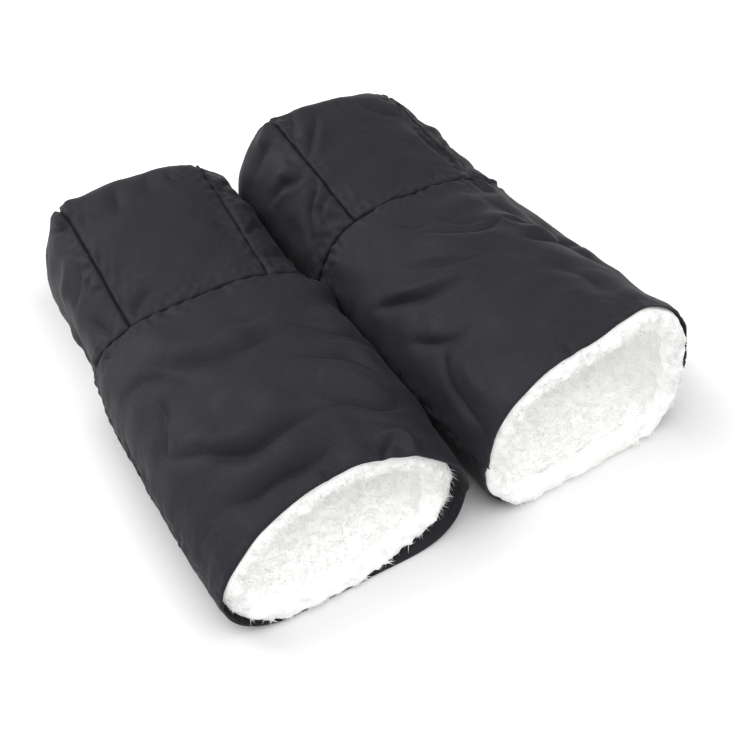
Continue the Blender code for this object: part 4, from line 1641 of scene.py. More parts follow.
@dataclass(frozen=True)
class Pile:
    """Tufts of pile that Geometry Nodes plant on a base of fleece, leaning together in clumps."""

    density: float
    blade_length: float
    seed: int
    blade_radius: float = 0.00034
    bend: float = 0.30
    lean: float = 1.0
    lean_gain: float = 5.0
    clump_size: float = 0.0075
    stray: float = 0.22
    grey_limit: float = 0.5
    growth: tuple[float, float] = (0.6, 1.3)
    floor_gap: float = 0.0002
    segments: int = 2

    def tree(self, material: bpy.types.Material) -> bpy.types.NodeTree:
        """Builds the node tree.

        Args:
            material: The blades' finish.

        Returns:
            The tree, with its sizes as named inputs.
        """
        sizes = ("Density", "Blade Length", "Blade Radius", "Bend", "Lean", "Clump Size")
        tree, add, given = new_tree("pile", {**dict.fromkeys(sizes, "Float"), "Seed": "Int"})
        thick = add("GeometryNodeInputNamedAttribute", {"Name": "pile"}, data_type="FLOAT")
        density = add(
            "ShaderNodeMath", {0: given["Density"], 1: thick.outputs["Attribute"]}, operation="MULTIPLY"
        )
        planted = add(
            "GeometryNodeDistributePointsOnFaces",
            {"Mesh": given["Geometry"], "Density": density, "Seed": given["Seed"]},
        )
        # Each blade carries its base's painted shade, or a random grey tone where that is greater.
        tone = add(
            "FunctionNodeRandomValue", {2: 0.0, 3: self.grey_limit, "Seed": given["Seed"]}, data_type="FLOAT"
        )
        base = add("GeometryNodeInputNamedAttribute", {"Name": "depth_shade"}, data_type="FLOAT")
        tone = add("ShaderNodeMath", {0: base.outputs["Attribute"], 1: tone.outputs[1]}, operation="MAXIMUM")
        toned = add(
            "GeometryNodeStoreNamedAttribute",
            {"Geometry": planted.outputs["Points"], "Name": "depth_shade", "Value": tone}, data_type="FLOAT",
        )
        where = add("GeometryNodeInputPosition")
        pitch = add("ShaderNodeMath", {0: 1.0, 1: given["Clump Size"]}, operation="DIVIDE")
        clumps = add("ShaderNodeTexNoise", {"Vector": where, "Scale": pitch, "Detail": 2.0})
        swing = add(
            "ShaderNodeVectorMath", {0: clumps.outputs["Color"], 1: (0.5, 0.5, 0.5)}, operation="SUBTRACT"
        )
        strength = add("ShaderNodeMath", {0: given["Lean"], 1: self.lean_gain}, operation="MULTIPLY")
        swing = add("ShaderNodeVectorMath", {0: swing, 3: strength}, operation="SCALE")
        stray = add(
            "FunctionNodeRandomValue", {0: (-self.stray,) * 3, 1: (self.stray,) * 3, "Seed": given["Seed"]},
            data_type="FLOAT_VECTOR",
        )
        aim = add("ShaderNodeVectorMath", {0: planted.outputs["Normal"], 1: swing}, operation="ADD")
        aim = add("ShaderNodeVectorMath", {0: aim, 1: stray}, operation="ADD")
        comb = add("GeometryNodeInputNamedAttribute", {"Name": "comb"}, data_type="FLOAT_VECTOR")
        aim = add("ShaderNodeVectorMath", {0: aim, 1: comb.outputs["Attribute"]}, operation="ADD")
        aligned = add("FunctionNodeAlignRotationToVector", {"Vector": aim}, axis="Z")
        spin = add(
            "FunctionNodeRandomValue", {0: (0.0, 0.0, 0.0), 1: (0.0, 0.0, math.tau), "Seed": given["Seed"]},
            data_type="FLOAT_VECTOR",
        )
        spun = add("FunctionNodeRotateRotation", {0: aligned, 1: spin}, rotation_space="LOCAL")
        blade = add(
            "GeometryNodeMeshCone",
            {
                "Vertices": 3, "Side Segments": self.segments, "Radius Top": 0.0,
                "Radius Bottom": given["Blade Radius"], "Depth": given["Blade Length"],
            },
            fill_type="NGON",
        )
        height = add("ShaderNodeSeparateXYZ", {0: where})
        rise = add("ShaderNodeMath", {0: height.outputs[2], 1: given["Blade Length"]}, operation="DIVIDE")
        curve = add("ShaderNodeMath", {0: rise, 1: 2.0}, operation="POWER")
        throw = add("ShaderNodeMath", {0: given["Bend"], 1: given["Blade Length"]}, operation="MULTIPLY")
        throw = add("ShaderNodeMath", {0: throw, 1: curve}, operation="MULTIPLY")
        shift = add("ShaderNodeCombineXYZ", {0: throw})
        bent = add("GeometryNodeSetPosition", {"Geometry": blade, "Offset": shift})
        growth = add(
            "FunctionNodeRandomValue", {2: self.growth[0], 3: self.growth[1], "Seed": given["Seed"]},
            data_type="FLOAT",
        )
        grown = add(
            "GeometryNodeInstanceOnPoints",
            {"Points": toned, "Instance": bent, "Rotation": spun, "Scale": growth.outputs[1]},
        )
        real = add("GeometryNodeRealizeInstances", {"Geometry": grown})
        spot = add("ShaderNodeSeparateXYZ", {0: where})
        above = add("ShaderNodeMath", {0: spot.outputs[2], 1: self.floor_gap}, operation="MAXIMUM")
        kept = add("ShaderNodeCombineXYZ", {0: spot, 1: spot.outputs[1], 2: above})
        real = add("GeometryNodeSetPosition", {"Geometry": real, "Position": kept})
        end_tree(add, real, material)
        return tree

    def grow(self, base: bpy.types.Object, name: str, material: bpy.types.Material) -> bpy.types.Object:
        """Plants the pile on a base and makes it a plain mesh.

        Args:
            base: The fleece, with the attributes pile, which says where pile grows, and comb, its lean.
            name: The new piece's name.
            material: The blades' finish.

        Returns:
            The pile, as one mesh of closed blades.
        """
        values = {
            "Density": self.density, "Blade Length": self.blade_length, "Blade Radius": self.blade_radius,
            "Bend": self.bend, "Lean": self.lean, "Clump Size": self.clump_size, "Seed": self.seed,
        }
        return run_tree(base, name, self.tree(material), values)


def run_tree(
    base: bpy.types.Object, name: str, tree: bpy.types.NodeTree, values: dict[str, float]
) -> bpy.types.Object:
    """Runs a node tree on a copy of an object and makes the result a plain mesh.

    Args:
        base: What the tree starts from.
        name: The new piece's name.
        tree: The tree.
        values: The tree's named inputs.

    Returns:
        The new object at the origin.
    """
    carrier = bpy.data.objects.new(f"{name}_carrier", base.data.copy())
    bpy.context.scene.collection.objects.link(carrier)
    modifier = carrier.modifiers.new("Tree", "NODES")
    modifier.node_group = tree
    for item in tree.interface.items_tree:
        if item.in_out == "INPUT" and item.name in values:
            modifier[item.identifier] = values[item.name]
    view = bpy.context.evaluated_depsgraph_get()
    mesh = bpy.data.meshes.new_from_object(carrier.evaluated_get(view), depsgraph=view)
    mesh.name = name
    bpy.data.objects.remove(carrier, do_unlink=True)
    thing = bpy.data.objects.new(name, mesh)
    bpy.context.scene.collection.objects.link(thing)
    return thing


# The height and the length of the brushed pile's broad waves, of its clumps and of its small locks.
FLUFF_SIZES = ((0.0008, 0.019), (0.0007, 0.0085), (0.00045, 0.0045))


def fluff(points: np.ndarray, seed: int) -> np.ndarray:
    """The lumps of brushed pile, from broad waves down to small locks.

    Args:
        points: Where to read them.
        seed: Picks the lumps.

    Returns:
        Heights, spread about 0, in metres.
    """
    broad, clumps, locks = (
        height * soft_noise(points, length, seed + number)
        for number, (height, length) in enumerate(FLUFF_SIZES)
    )
    return broad + clumps + np.abs(locks)


@dataclass
class FleeceLining:
    """The fleece inside one muff: the tube for the hand, the cap's lining and the rolled rim at the mouth."""

    form: MuffForm
    seat: Seat
    finishes: Finishes
    shell: ShellPanels
    seed: int
    spacing: float = 0.0024
    hood_spacing: float = 0.0032
    gusset_samples: int = 26
    roll_reach: float = 0.0088
    roll_depth: float = 0.0074
    roll_steps: int = 320
    roll_sides: int = 44
    roll_margin: float = 0.0005
    roll_sink: float = 0.005
    roll_rows: int = 8
    roll_evening: int = 6
    roll_squeeze: float = 0.3
    roll_lumps: float = 1.2
    front_pile_start: float = 0.5
    front_pile_drop: float = 0.6
    inside_pile_start: float = 0.75
    pile_ramp: float = 0.3
    comb_forward: float = 0.85
    comb_forward_drop: float = 0.35
    comb_outward: float = 0.15
    pile_reach: float = 0.140
    pile_fade: float = 0.02
    pile_comb: tuple[float, float, float] = (0.0, -0.55, 0.0)
    rear_reach: float = 0.045
    rear_gap: float = 0.008
    rear_fade: float = 0.004
    # Where the painted shade inside the tube starts and fades in from the mouth, and how far from the rear
    # end it fades out.
    shade_start: float = 0.024
    shade_fade: float = 0.06
    rear_shade_gap: float = 0.02
    rear_shade_fade: float = 0.03
    hem_reach: float = 0.024
    hem_fade: float = 0.004

    @property
    def body(self) -> str:
        """The frame's body that the fleece rides on."""
        return f"{self.form.name}_muff"

    def finish(self, piece: bpy.types.Object, node: str) -> None:
        """Sets the body of a piece of fleece and hides the node that it replaces."""
        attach(piece, self.body)
        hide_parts(f"{self.form.name}_{node}")

    def wall(self, name: str, node: str, patch: Patch) -> bpy.types.Object:
        """One piece of the lining, with lumps on its inner face.

        Args:
            name: What the piece is called.
            node: The node that it replaces.
            patch: The shell's smooth surface over it.

        Returns:
            The piece.
        """
        size = self.form.sizes
        back = Patch(patch.points - patch.normals * size.lining_depth, patch.normals)
        depth = size.lining_depth + size.lining_thickness + fluff(patch.points, self.seed)
        face = patch.points - patch.normals * depth[..., None]
        piece = closed_layer(f"{self.form.name}_{name}", back, face, self.seat, self.finishes.fleece)
        along = patch.arc(0)
        from_rear = along[-1:] - along
        rear = unit((self.rear_reach - from_rear) / self.pile_fade)
        rear = rear * unit((from_rear - self.rear_gap) / self.rear_fade)
        thick = np.maximum(unit((self.pile_reach - along) / self.pile_fade), rear)
        write_attribute(piece, "pile", np.concatenate([np.zeros(thick.size), thick.reshape(-1)]))
        write_attribute(piece, "comb", np.tile(self.pile_comb, (2 * thick.size, 1)))
        # Painted shade: the fleece is greyed deeper in the tube, and less again near its rear end.
        shade = unit((along - self.shade_start) / self.shade_fade)
        shade = shade * unit((from_rear - self.rear_shade_gap) / self.rear_shade_fade)
        write_attribute(piece, "depth_shade", np.tile(shade.reshape(-1), 2))
        self.finish(piece, node)
        return piece

    def hood(self) -> Patch:
        """The cap's whole inner surface, from the right hem over the strip to the left one."""
        cutter = PanelCutter(self.form, self.hood_spacing)
        half = self.form.sizes.half_strip
        x = np.linspace(half, -half, spaced(2 * half, cutter.spacing))
        lines = []
        for travel in cutter.gusset_travels():
            right = self.form.gusset_row(travel, 1, self.gusset_samples)[::-1]
            left = self.form.gusset_row(travel, -1, self.gusset_samples)
            lines.append(np.concatenate([right, self.form.strip_row(x, travel)[1:-1], left]))
        grid = np.array(lines)
        return Patch(grid, self.form.outward(grid, True))

    def rim_path(self) -> tuple[np.ndarray, np.ndarray]:
        """The closed line that the rolled rim follows just inside the shell's edge.

        Returns:
            The line's points and the outward direction at each.
        """
        size = self.form.sizes
        places, directions = [], []
        for panel in (Panel.BODY_UPPER, Panel.BODY_UNDER):
            smooth, outer = self.shell.smooth_patches[panel], self.shell.patches[panel]
            row = int(np.argmin(np.abs(smooth.arc(0)[:, smooth.columns // 2] - size.rim_setback)))
            rise = np.einsum("ijk,ijk->ij", outer.points - smooth.points, smooth.normals)
            sink = np.clip(rise[: row + self.roll_rows].min(axis=0) - self.roll_margin, -self.roll_sink, 0.0)
            depth = size.shell_thickness + size.clearance + self.roll_reach - sink
            line = smooth.points[row] - smooth.normals[row] * depth[:, None]
            order = slice(None) if panel is Panel.BODY_UPPER else slice(None, None, -1)
            places.append(line[order][:-1])
            directions.append(smooth.normals[row][order][:-1])
        path = np.concatenate(places + [places[0][:1]])
        facing = np.concatenate(directions + [directions[0][:1]])
        arc = arc_lengths(path)
        wanted = np.linspace(0.0, arc[-1], self.roll_steps + 1)[:-1]
        line = np.stack([np.interp(wanted, arc, path[:, k]) for k in range(3)], axis=1)
        outward = np.stack([np.interp(wanted, arc, facing[:, k]) for k in range(3)], axis=1)
        for _ in range(self.roll_evening):
            line = (np.roll(line, 1, 0) + 2 * line + np.roll(line, -1, 0)) / 4
            outward = (np.roll(outward, 1, 0) + 2 * outward + np.roll(outward, -1, 0)) / 4
        outward /= np.linalg.norm(outward, axis=1, keepdims=True)
        middle = (line.max(axis=0) + line.min(axis=0)) / 2
        reach = (line.max(axis=0) - line.min(axis=0)) / 2
        spot = (line - middle) / reach
        angles = np.degrees(np.arctan2(spot[:, 2], spot[:, 0]))
        places = np.arange(len(self.form.rim_setbacks)) * 360.0 / len(self.form.rim_setbacks)
        setback = np.interp(angles, places, self.form.rim_setbacks, period=360.0)
        line[:, 1] += setback
        line -= outward * self.roll_squeeze * setback[:, None]
        return line, outward

    def rim(self) -> bpy.types.Object:
        """The rolled fleece edge, a lumpy ring just inside the shell's edge."""
        line, outward = self.rim_path()
        down = unit(-outward[:, 2])
        along = np.roll(line, -1, 0) - np.roll(line, 1, 0)
        along /= np.linalg.norm(along, axis=1, keepdims=True)
        outward = outward - along * np.einsum("ij,ij->i", along, outward)[:, None]
        outward /= np.linalg.norm(outward, axis=1, keepdims=True)
        front = np.cross(along, outward)
        front *= -np.sign(front[:, 1:2])
        turns = np.linspace(0.0, math.tau, self.roll_sides + 1)[:-1]
        cosines, sines = np.cos(turns), np.sin(turns)
        radial = outward[:, None] * cosines[None, :, None]
        forward = front[:, None] * sines[None, :, None]
        normals = radial + forward
        ring = line[:, None] + radial * self.roll_reach + forward * self.roll_depth
        lumps = fluff(ring, self.seed + 5) * unit(self.roll_lumps - cosines)[None, :]
        ring = ring + normals * lumps[..., None]
        rows = ring.shape[0]
        numbers = np.arange(rows * len(turns)).reshape(rows, len(turns))
        next_row = np.roll(numbers, -1, 0)
        corners = (numbers, next_row, np.roll(next_row, -1, 1), np.roll(numbers, -1, 1))
        faces = np.stack([corner.reshape(-1) for corner in corners], axis=1)
        first = ring.reshape(-1, 3)[faces[0]]
        if np.cross(first[1] - first[0], first[3] - first[0]) @ normals[0, 0] < 0.0:
            faces = faces[:, ::-1]
        name = f"{self.form.name}_mouth_rim_roll"
        piece = mesh_object(name, self.seat.place(ring), faces.tolist(), self.finishes.fleece)
        # The pile covers the front of the roll and its inside, and reaches further out along the bottom.
        start = self.front_pile_drop * down[:, None]
        outer_half = unit((sines[None, :] - self.front_pile_start + start) / self.pile_ramp)
        inner_half = unit((sines + self.inside_pile_start) / self.pile_ramp)
        pile = np.where(cosines[None, :] > 0.0, outer_half, inner_half[None, :])
        write_attribute(piece, "pile", pile.reshape(-1))
        comb = front * (self.comb_forward - self.comb_forward_drop * down[:, None])
        comb = comb + outward * (self.comb_outward * down[:, None])
        comb = comb @ np.array(self.seat.turn).T
        write_attribute(piece, "comb", np.repeat(comb, len(turns), axis=0))
        self.finish(piece, "mouth_rim")
        return piece

    def build(self) -> list[bpy.types.Object]:
        """Builds the fleece and its pile, and returns the pieces."""
        cutter = PanelCutter(self.form, self.spacing)
        start = self.form.padding_start
        upper = self.wall("body_upper_fleece", "body_upper_lining", cutter.body(True, start))
        under = self.wall("body_under_fleece", "body_under_lining", cutter.body(False, start))
        hood_patch = self.hood()
        hood = self.wall("cap_fleece", "cap_lining", hood_patch)
        across = hood_patch.border_distance(Edge.FIRST_COLUMN, Edge.LAST_COLUMN)
        band = unit(1.0 - (across - self.hem_reach) / self.hem_fade).reshape(-1)
        write_attribute(hood, "pile", np.concatenate([np.zeros(band.size), band]))
        write_attribute(hood, "comb", np.zeros((2 * band.size, 3)))
        write_attribute(hood, "depth_shade", np.zeros(2 * band.size))
        rim = self.rim()
        pieces = [upper, under, hood, rim]
        inside = Pile(density=400_000.0, blade_length=0.0066, blade_radius=0.00028, seed=self.seed)
        edge = Pile(density=900_000.0, blade_length=0.0062, lean=0.7, seed=self.seed + 1)
        hem = replace(inside, density=200_000.0)
        for base, pile in ((upper, inside), (under, inside), (hood, hem), (rim, edge)):
            grown = pile.grow(base, f"{base.name}_pile", self.finishes.fleece)
            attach(grown, self.body)
            pieces.append(grown)
        return pieces


@dataclass(frozen=True)
class Stitches:
    """A row of stitches along a line, set out by Geometry Nodes."""

    pitch: float = 0.0032
    stitch_length: float = 0.0024
    thread_radius: float = 0.00028

    def tree(self, material: bpy.types.Material) -> bpy.types.NodeTree:
        """Builds the node tree.

        Args:
            material: The thread's finish.

        Returns:
            The tree, with its sizes as named inputs.
        """
        sizes = ("Pitch", "Stitch Length", "Thread Radius")
        tree, add, given = new_tree("stitches", dict.fromkeys(sizes, "Float"))
        line = add("GeometryNodeMeshToCurve", {"Mesh": given["Geometry"]})
        even = add("GeometryNodeResampleCurve", {"Curve": line, "Length": given["Pitch"]}, mode="LENGTH")
        tangent = add("GeometryNodeInputTangent")
        along = add("FunctionNodeAlignRotationToVector", {"Vector": tangent}, axis="X")
        bead = add("GeometryNodeMeshUVSphere", {"Segments": 6, "Rings": 5, "Radius": 1.0})
        half = add("ShaderNodeMath", {0: given["Stitch Length"], 1: 0.5}, operation="MULTIPLY")
        size = add("ShaderNodeCombineXYZ", {0: half, 1: given["Thread Radius"], 2: given["Thread Radius"]})
        placed = add(
            "GeometryNodeInstanceOnPoints",
            {"Points": even, "Instance": bead, "Rotation": along, "Scale": size},
        )
        real = add("GeometryNodeRealizeInstances", {"Geometry": placed})
        end_tree(add, real, material)
        return tree

    def sew(self, name: str, lines: list[np.ndarray], material: bpy.types.Material) -> bpy.types.Object:
        """Sews rows of stitches.

        Args:
            name: The piece's name.
            lines: The lines to follow, in the row frame.
            material: The thread's finish.

        Returns:
            All the stitches as one mesh.
        """
        mesh = bpy.data.meshes.new(name + "_line")
        edges, start = [], 0
        for line in lines:
            edges += [(start + i, start + i + 1) for i in range(len(line) - 1)]
            start += len(line)
        mesh.from_pydata(np.concatenate(lines).tolist(), edges, [])
        guide = bpy.data.objects.new(name + "_guide", mesh)
        values = {
            "Pitch": self.pitch, "Stitch Length": self.stitch_length, "Thread Radius": self.thread_radius
        }
        sewn = run_tree(guide, name, self.tree(material), values)
        bpy.data.objects.remove(guide, do_unlink=True)
        return sewn


TUBE_SIDES = 12
TUBE_END_RINGS = 3


def tube(
    name: str, line: np.ndarray, across: float, high: float, up: np.ndarray, material: bpy.types.Material
) -> bpy.types.Object:
    """A closed tube with an oval section along an open line.

    Args:
        name: The piece's name.
        line: The line, in the row frame.
        across: Half its width.
        high: Half its height along up.
        up: The section's up direction at each point of the line.
        material: Its finish.

    Returns:
        The tube, with round closed ends.
    """
    along = np.gradient(line, axis=0)
    along /= np.linalg.norm(along, axis=1, keepdims=True)
    side = np.cross(along, up)
    side /= np.linalg.norm(side, axis=1, keepdims=True)
    rise = np.cross(side, along)
    turns = np.linspace(0.0, math.tau, TUBE_SIDES + 1)[:-1]
    ends = np.sin(np.linspace(0.0, math.pi / 2, TUBE_END_RINGS + 1))[1:]
    shrink = np.concatenate([ends, np.ones(len(line) - 2 * len(ends)), ends[::-1]])
    circle = side[:, None] * np.cos(turns)[None, :, None] * across
    circle = circle + rise[:, None] * np.sin(turns)[None, :, None] * high
    rings = line[:, None] + circle * shrink[:, None, None]
    rows, columns = rings.shape[:2]
    numbers = np.arange(rows * columns).reshape(rows, columns)
    shifted = np.roll(numbers, -1, 1)
    corners = (numbers[:-1], shifted[:-1], shifted[1:], numbers[1:])
    faces = np.stack([corner.reshape(-1) for corner in corners], axis=1).tolist()
    faces += [numbers[0, ::-1].tolist(), numbers[-1].tolist()]
    thing = mesh_object(name, rings, faces, material)
    spread = np.stack(np.broadcast_arrays(turns[None, :] * across, arc_lengths(line)[:, None]), axis=-1)
    write_uv(thing, spread.reshape(-1, 2))
    return thing


@dataclass(frozen=True)
class FlapSizes:
    """The closure flap and its studs, in metres."""

    width: float = 0.112
    lead: float = 0.0015
    fold: float = 0.020
    overlap: float = 0.029
    tip_radius: float = 0.022
    lining_thickness: float = 0.0020
    lining_margin: float = 0.004
    stud_spacing: float = 0.032
    stud_edge_distance: float = 0.0125
    stud_count: int = 3
    cap_radius: float = 0.0062
    cap_thickness: float = 0.0010
    socket_radius: float = 0.0055
    socket_thickness: float = 0.0016
    socket_bore: float = 0.0024
    post_flange_radius: float = 0.0055
    post_flange_thickness: float = 0.0008
    post_radius: float = 0.0019


@dataclass
class ClosureFlap:
    """The flap that folds forward under the handlebar, with its fleece, its stitches and its press studs."""

    form: MuffForm
    seat: Seat
    finishes: Finishes
    flap: FlapSizes = FlapSizes()
    stud_steps: int = 40
    cloth_grid: tuple[int, int] = (70, 58)
    hem_swell: float = 0.00035
    hem_middle: float = 0.0035
    fold_calm: float = 0.02
    drift: float = 0.0002
    drift_size: float = 0.02
    relief_limits: tuple[float, float] = (-0.0003, 0.0008)
    fleece_grid: tuple[int, int] = (60, 52)
    fleece_first_row: int = 24
    fleece_rounding: float = 0.0018
    edge_share: float = 0.35
    lump_share: float = 0.35
    lump_depth: float = 0.0006
    pile_inset: float = 0.002
    pile_fade: float = 0.003
    stitch_first_row: int = 26
    stitch_inset: float = 0.0058
    stitch_sink: float = 0.0001

    @property
    def body(self) -> str:
        """The frame's body that the flap rides on."""
        return f"{self.form.name}_flap"

    @property
    def level(self) -> float:
        """The height of the flap's outer face when it is closed."""
        return self.flap.cap_thickness + self.form.sizes.clearance

    @property
    def tip(self) -> float:
        """Where the flap ends, along the muff."""
        return self.form.sizes.body_length - self.flap.overlap

    def face(self, half: float, radius: float, rows: int, columns: int) -> Patch:
        """The flap's outer face, from its fold to its tip.

        Args:
            half: Half its width.
            radius: The radius of the tip's corners.
            rows: How many rows of points.
            columns: How many points a row has.

        Returns:
            The face, with directions that point down and out.
        """
        size, flap = self.form.sizes, self.flap
        start = size.hinge_place - size.clearance
        top = size.hinge_height - size.clearance
        x = np.linspace(half, -half, columns)
        into_corner = unit((np.abs(x) - (half - radius)) / radius)
        ends = self.tip + radius * (1.0 - np.sqrt(1.0 - into_corner**2))
        turn = np.linspace(0.0, math.pi / 2, rows // 3)
        drop = top - flap.lead - self.level
        fold = [(start, top)]
        fold += [(start - flap.fold * (1 - math.cos(a)), self.level + drop * (1 - math.sin(a))) for a in turn]
        lines = [np.stack([x, np.full_like(x, y), np.full_like(x, z)], axis=-1) for y, z in fold]
        fold_end = start - flap.fold
        for share in np.linspace(0.0, 1.0, rows - len(fold) + 1)[1:]:
            lines.append(
                np.stack([x, fold_end + (ends - fold_end) * share, np.full_like(x, self.level)], axis=-1)
            )
        grid = np.array(lines)
        normals = np.cross(np.gradient(grid, axis=0), np.gradient(grid, axis=1))
        normals /= np.maximum(np.linalg.norm(normals, axis=-1, keepdims=True), 1e-9)
        normals[len(fold) + 1 :] = (0.0, 0.0, -1.0)
        if normals[rows // 5, columns // 2, 2] > 0.0:
            normals[: len(fold) + 1] *= -1.0
        return Patch(grid, normals)

    def shell(self) -> bpy.types.Object:
        """The flap's woven cloth, with a turned hem round its edge."""
        face = self.face(self.flap.width / 2, self.flap.tip_radius, *self.cloth_grid)
        hem = face.border_distance(Edge.FIRST_COLUMN, Edge.LAST_COLUMN, Edge.LAST_ROW)
        swell = self.hem_swell * unit(1.0 - np.abs(hem - self.hem_middle) / self.hem_middle) ** 0.5
        free = unit(face.edge_distance(Edge.FIRST_ROW) / self.fold_calm)
        relief = (swell + self.drift * soft_noise(face.points, self.drift_size, 71)) * free
        outer = face.moved(np.clip(relief, *self.relief_limits))
        inner = face.points - face.normals * self.form.sizes.shell_thickness
        name = f"{self.form.name}_closure_flap_shell"
        piece = closed_layer(name, outer, inner, self.seat, self.finishes.shell)
        write_attribute(piece, "seam_shade", np.zeros(len(piece.data.vertices)))
        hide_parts(f"{self.form.name}_closure_flap")
        return piece

    def fleece(self) -> bpy.types.Object:
        """The fleece on the flap's inner face."""
        flap, size = self.flap, self.form.sizes
        margin = flap.lining_margin
        face = self.face(flap.width / 2 - margin, flap.tip_radius - margin, *self.fleece_grid)
        flat = face.points[self.fleece_first_row :].copy()
        share = np.linspace(0.0, 1.0, len(flat))[:, None]
        ends = face.points[-1, :, 1] + margin
        back = size.hinge_place - size.clearance - flap.fold - margin
        flat[..., 1] = back + (ends[None, :] - back) * share
        flat[..., 2] = self.level + size.shell_thickness + size.clearance
        under = Patch(flat, np.broadcast_to(np.array([0.0, 0.0, -1.0]), flat.shape).copy())
        border = under.border_distance(*Edge)
        round_edge = np.sqrt(1.0 - unit(1.0 - border / self.fleece_rounding) ** 2)
        lumps = np.clip(self.lump_share * fluff(flat, 77), -self.lump_depth, 0.0)
        height = flap.lining_thickness * (self.edge_share + (1.0 - self.edge_share) * round_edge) + lumps
        top = flat.copy()
        top[..., 2] += height
        name = f"{self.form.name}_closure_flap_fleece"
        piece = closed_layer(name, under, top, self.seat, self.finishes.fleece)
        inside = unit((border - self.pile_inset) / self.pile_fade).reshape(-1)
        write_attribute(piece, "pile", np.concatenate([np.zeros(inside.size), inside]))
        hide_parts(f"{self.form.name}_closure_flap_lining")
        return piece

    def stitches(self) -> bpy.types.Object:
        """A row of stitches along the flap's hem."""
        inset = self.stitch_inset
        face = self.face(self.flap.width / 2 - inset, self.flap.tip_radius - inset, *self.cloth_grid)
        flat = face.points[self.stitch_first_row :].copy()
        share = np.linspace(0.0, 1.0, len(flat))[:, None]
        ends = face.points[-1, :, 1] + inset
        flat[..., 1] = flat[0, 0, 1] + (ends[None, :] - flat[0, 0, 1]) * share
        flat[..., 2] = self.level - self.stitch_sink
        line = np.concatenate([flat[:, 0], flat[-1, 1:-1], flat[::-1, -1]])
        name = f"{self.form.name}_closure_flap_stitches"
        return Stitches().sew(name, [self.seat.place(line)], self.finishes.thread)

    def stud_tree(self, profile: list[tuple[float, float]]) -> bpy.types.NodeTree:
        """A node tree that turns a profile and sets the turned piece out in a row.

        Args:
            profile: Radii and levels, from the middle of one face to the middle of the other.

        Returns:
            The tree, with its sizes as named inputs.
        """
        turned = turned_mesh("turned_stud", profile, self.stud_steps)
        pattern = bpy.data.objects.new("turned_stud_pattern", turned)
        sizes = {"Studs": "Int", "Spacing": "Float", "Place": "Vector", "Turn": "Float"}
        tree, add, given = new_tree("stud_row", sizes)
        gaps = add("ShaderNodeMath", {0: given["Studs"], 1: 1.0}, operation="SUBTRACT")
        length = add("ShaderNodeMath", {0: gaps, 1: given["Spacing"]}, operation="MULTIPLY")
        back = add("ShaderNodeMath", {0: length, 1: -0.5}, operation="MULTIPLY")
        first = add("ShaderNodeCombineXYZ", {0: back})
        step = add("ShaderNodeCombineXYZ", {0: given["Spacing"]})
        row = add("GeometryNodeMeshLine", {"Count": given["Studs"], "Start Location": first, "Offset": step})
        stud = add("GeometryNodeObjectInfo", {"Object": pattern})
        studs = add("GeometryNodeInstanceOnPoints", {"Points": row, "Instance": stud.outputs["Geometry"]})
        turn = add("ShaderNodeCombineXYZ", {2: given["Turn"]})
        seated = add(
            "GeometryNodeTransform", {"Geometry": studs, "Translation": given["Place"], "Rotation": turn}
        )
        real = add("GeometryNodeRealizeInstances", {"Geometry": seated})
        end_tree(add, real, self.finishes.metal)
        return tree

    def studs(self, name: str, node: str, profile: list[tuple[float, float]], body: str) -> bpy.types.Object:
        """A row of turned studs across the muff.

        Args:
            name: The piece's name.
            node: The nodes that it replaces, without their numbers.
            profile: The stud's profile of radii and levels.
            body: The frame's body that it rides on.

        Returns:
            The row as one mesh.
        """
        flap, size = self.flap, self.form.sizes
        place = Vector((0.0, size.body_length - flap.stud_edge_distance, 0.0))
        seated = self.seat.turn @ place + self.seat.origin
        across = self.seat.turn @ Vector((1.0, 0.0, 0.0))
        values = {
            "Studs": flap.stud_count, "Spacing": flap.stud_spacing, "Place": tuple(seated),
            "Turn": math.atan2(across.y, across.x),
        }
        seed = bpy.data.objects.new("stud_seed", bpy.data.meshes.new("stud_seed"))
        piece = run_tree(seed, f"{self.form.name}_{name}", self.stud_tree(profile), values)
        bpy.data.objects.remove(seed, do_unlink=True)
        bpy.data.objects.remove(bpy.data.objects["turned_stud_pattern"], do_unlink=True)
        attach(piece, body)
        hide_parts(*(f"{self.form.name}_{node}_{k + 1}" for k in range(flap.stud_count)))
        return piece

    def build(self) -> list[bpy.types.Object]:
        """Builds the flap, its studs and the studs' posts on the body, and returns the pieces."""
        flap, size = self.flap, self.form.sizes
        fleece = self.fleece()
        short = Pile(density=310_000.0, blade_length=0.0040, blade_radius=0.0003, lean=0.8, seed=83)
        pile = short.grow(fleece, f"{fleece.name}_pile", self.finishes.fleece)
        pieces = [self.shell(), fleece, pile, self.stitches()]
        for piece in pieces:
            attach(piece, self.body)
        cap = cap_profile(flap)
        socket_level = self.level + size.shell_thickness + flap.lining_thickness + 2 * size.clearance
        post_level = socket_level + flap.socket_thickness + size.clearance
        socket = socket_profile(flap, socket_level)
        post = post_profile(flap, post_level, socket_level + size.clearance)
        pieces.append(self.studs("flap_stud_caps", "flap_stud_cap", cap, self.body))
        pieces.append(self.studs("flap_stud_sockets", "flap_stud_socket", socket, self.body))
        pieces.append(self.studs("body_stud_posts", "body_stud_post", post, f"{self.form.name}_muff"))
        return pieces


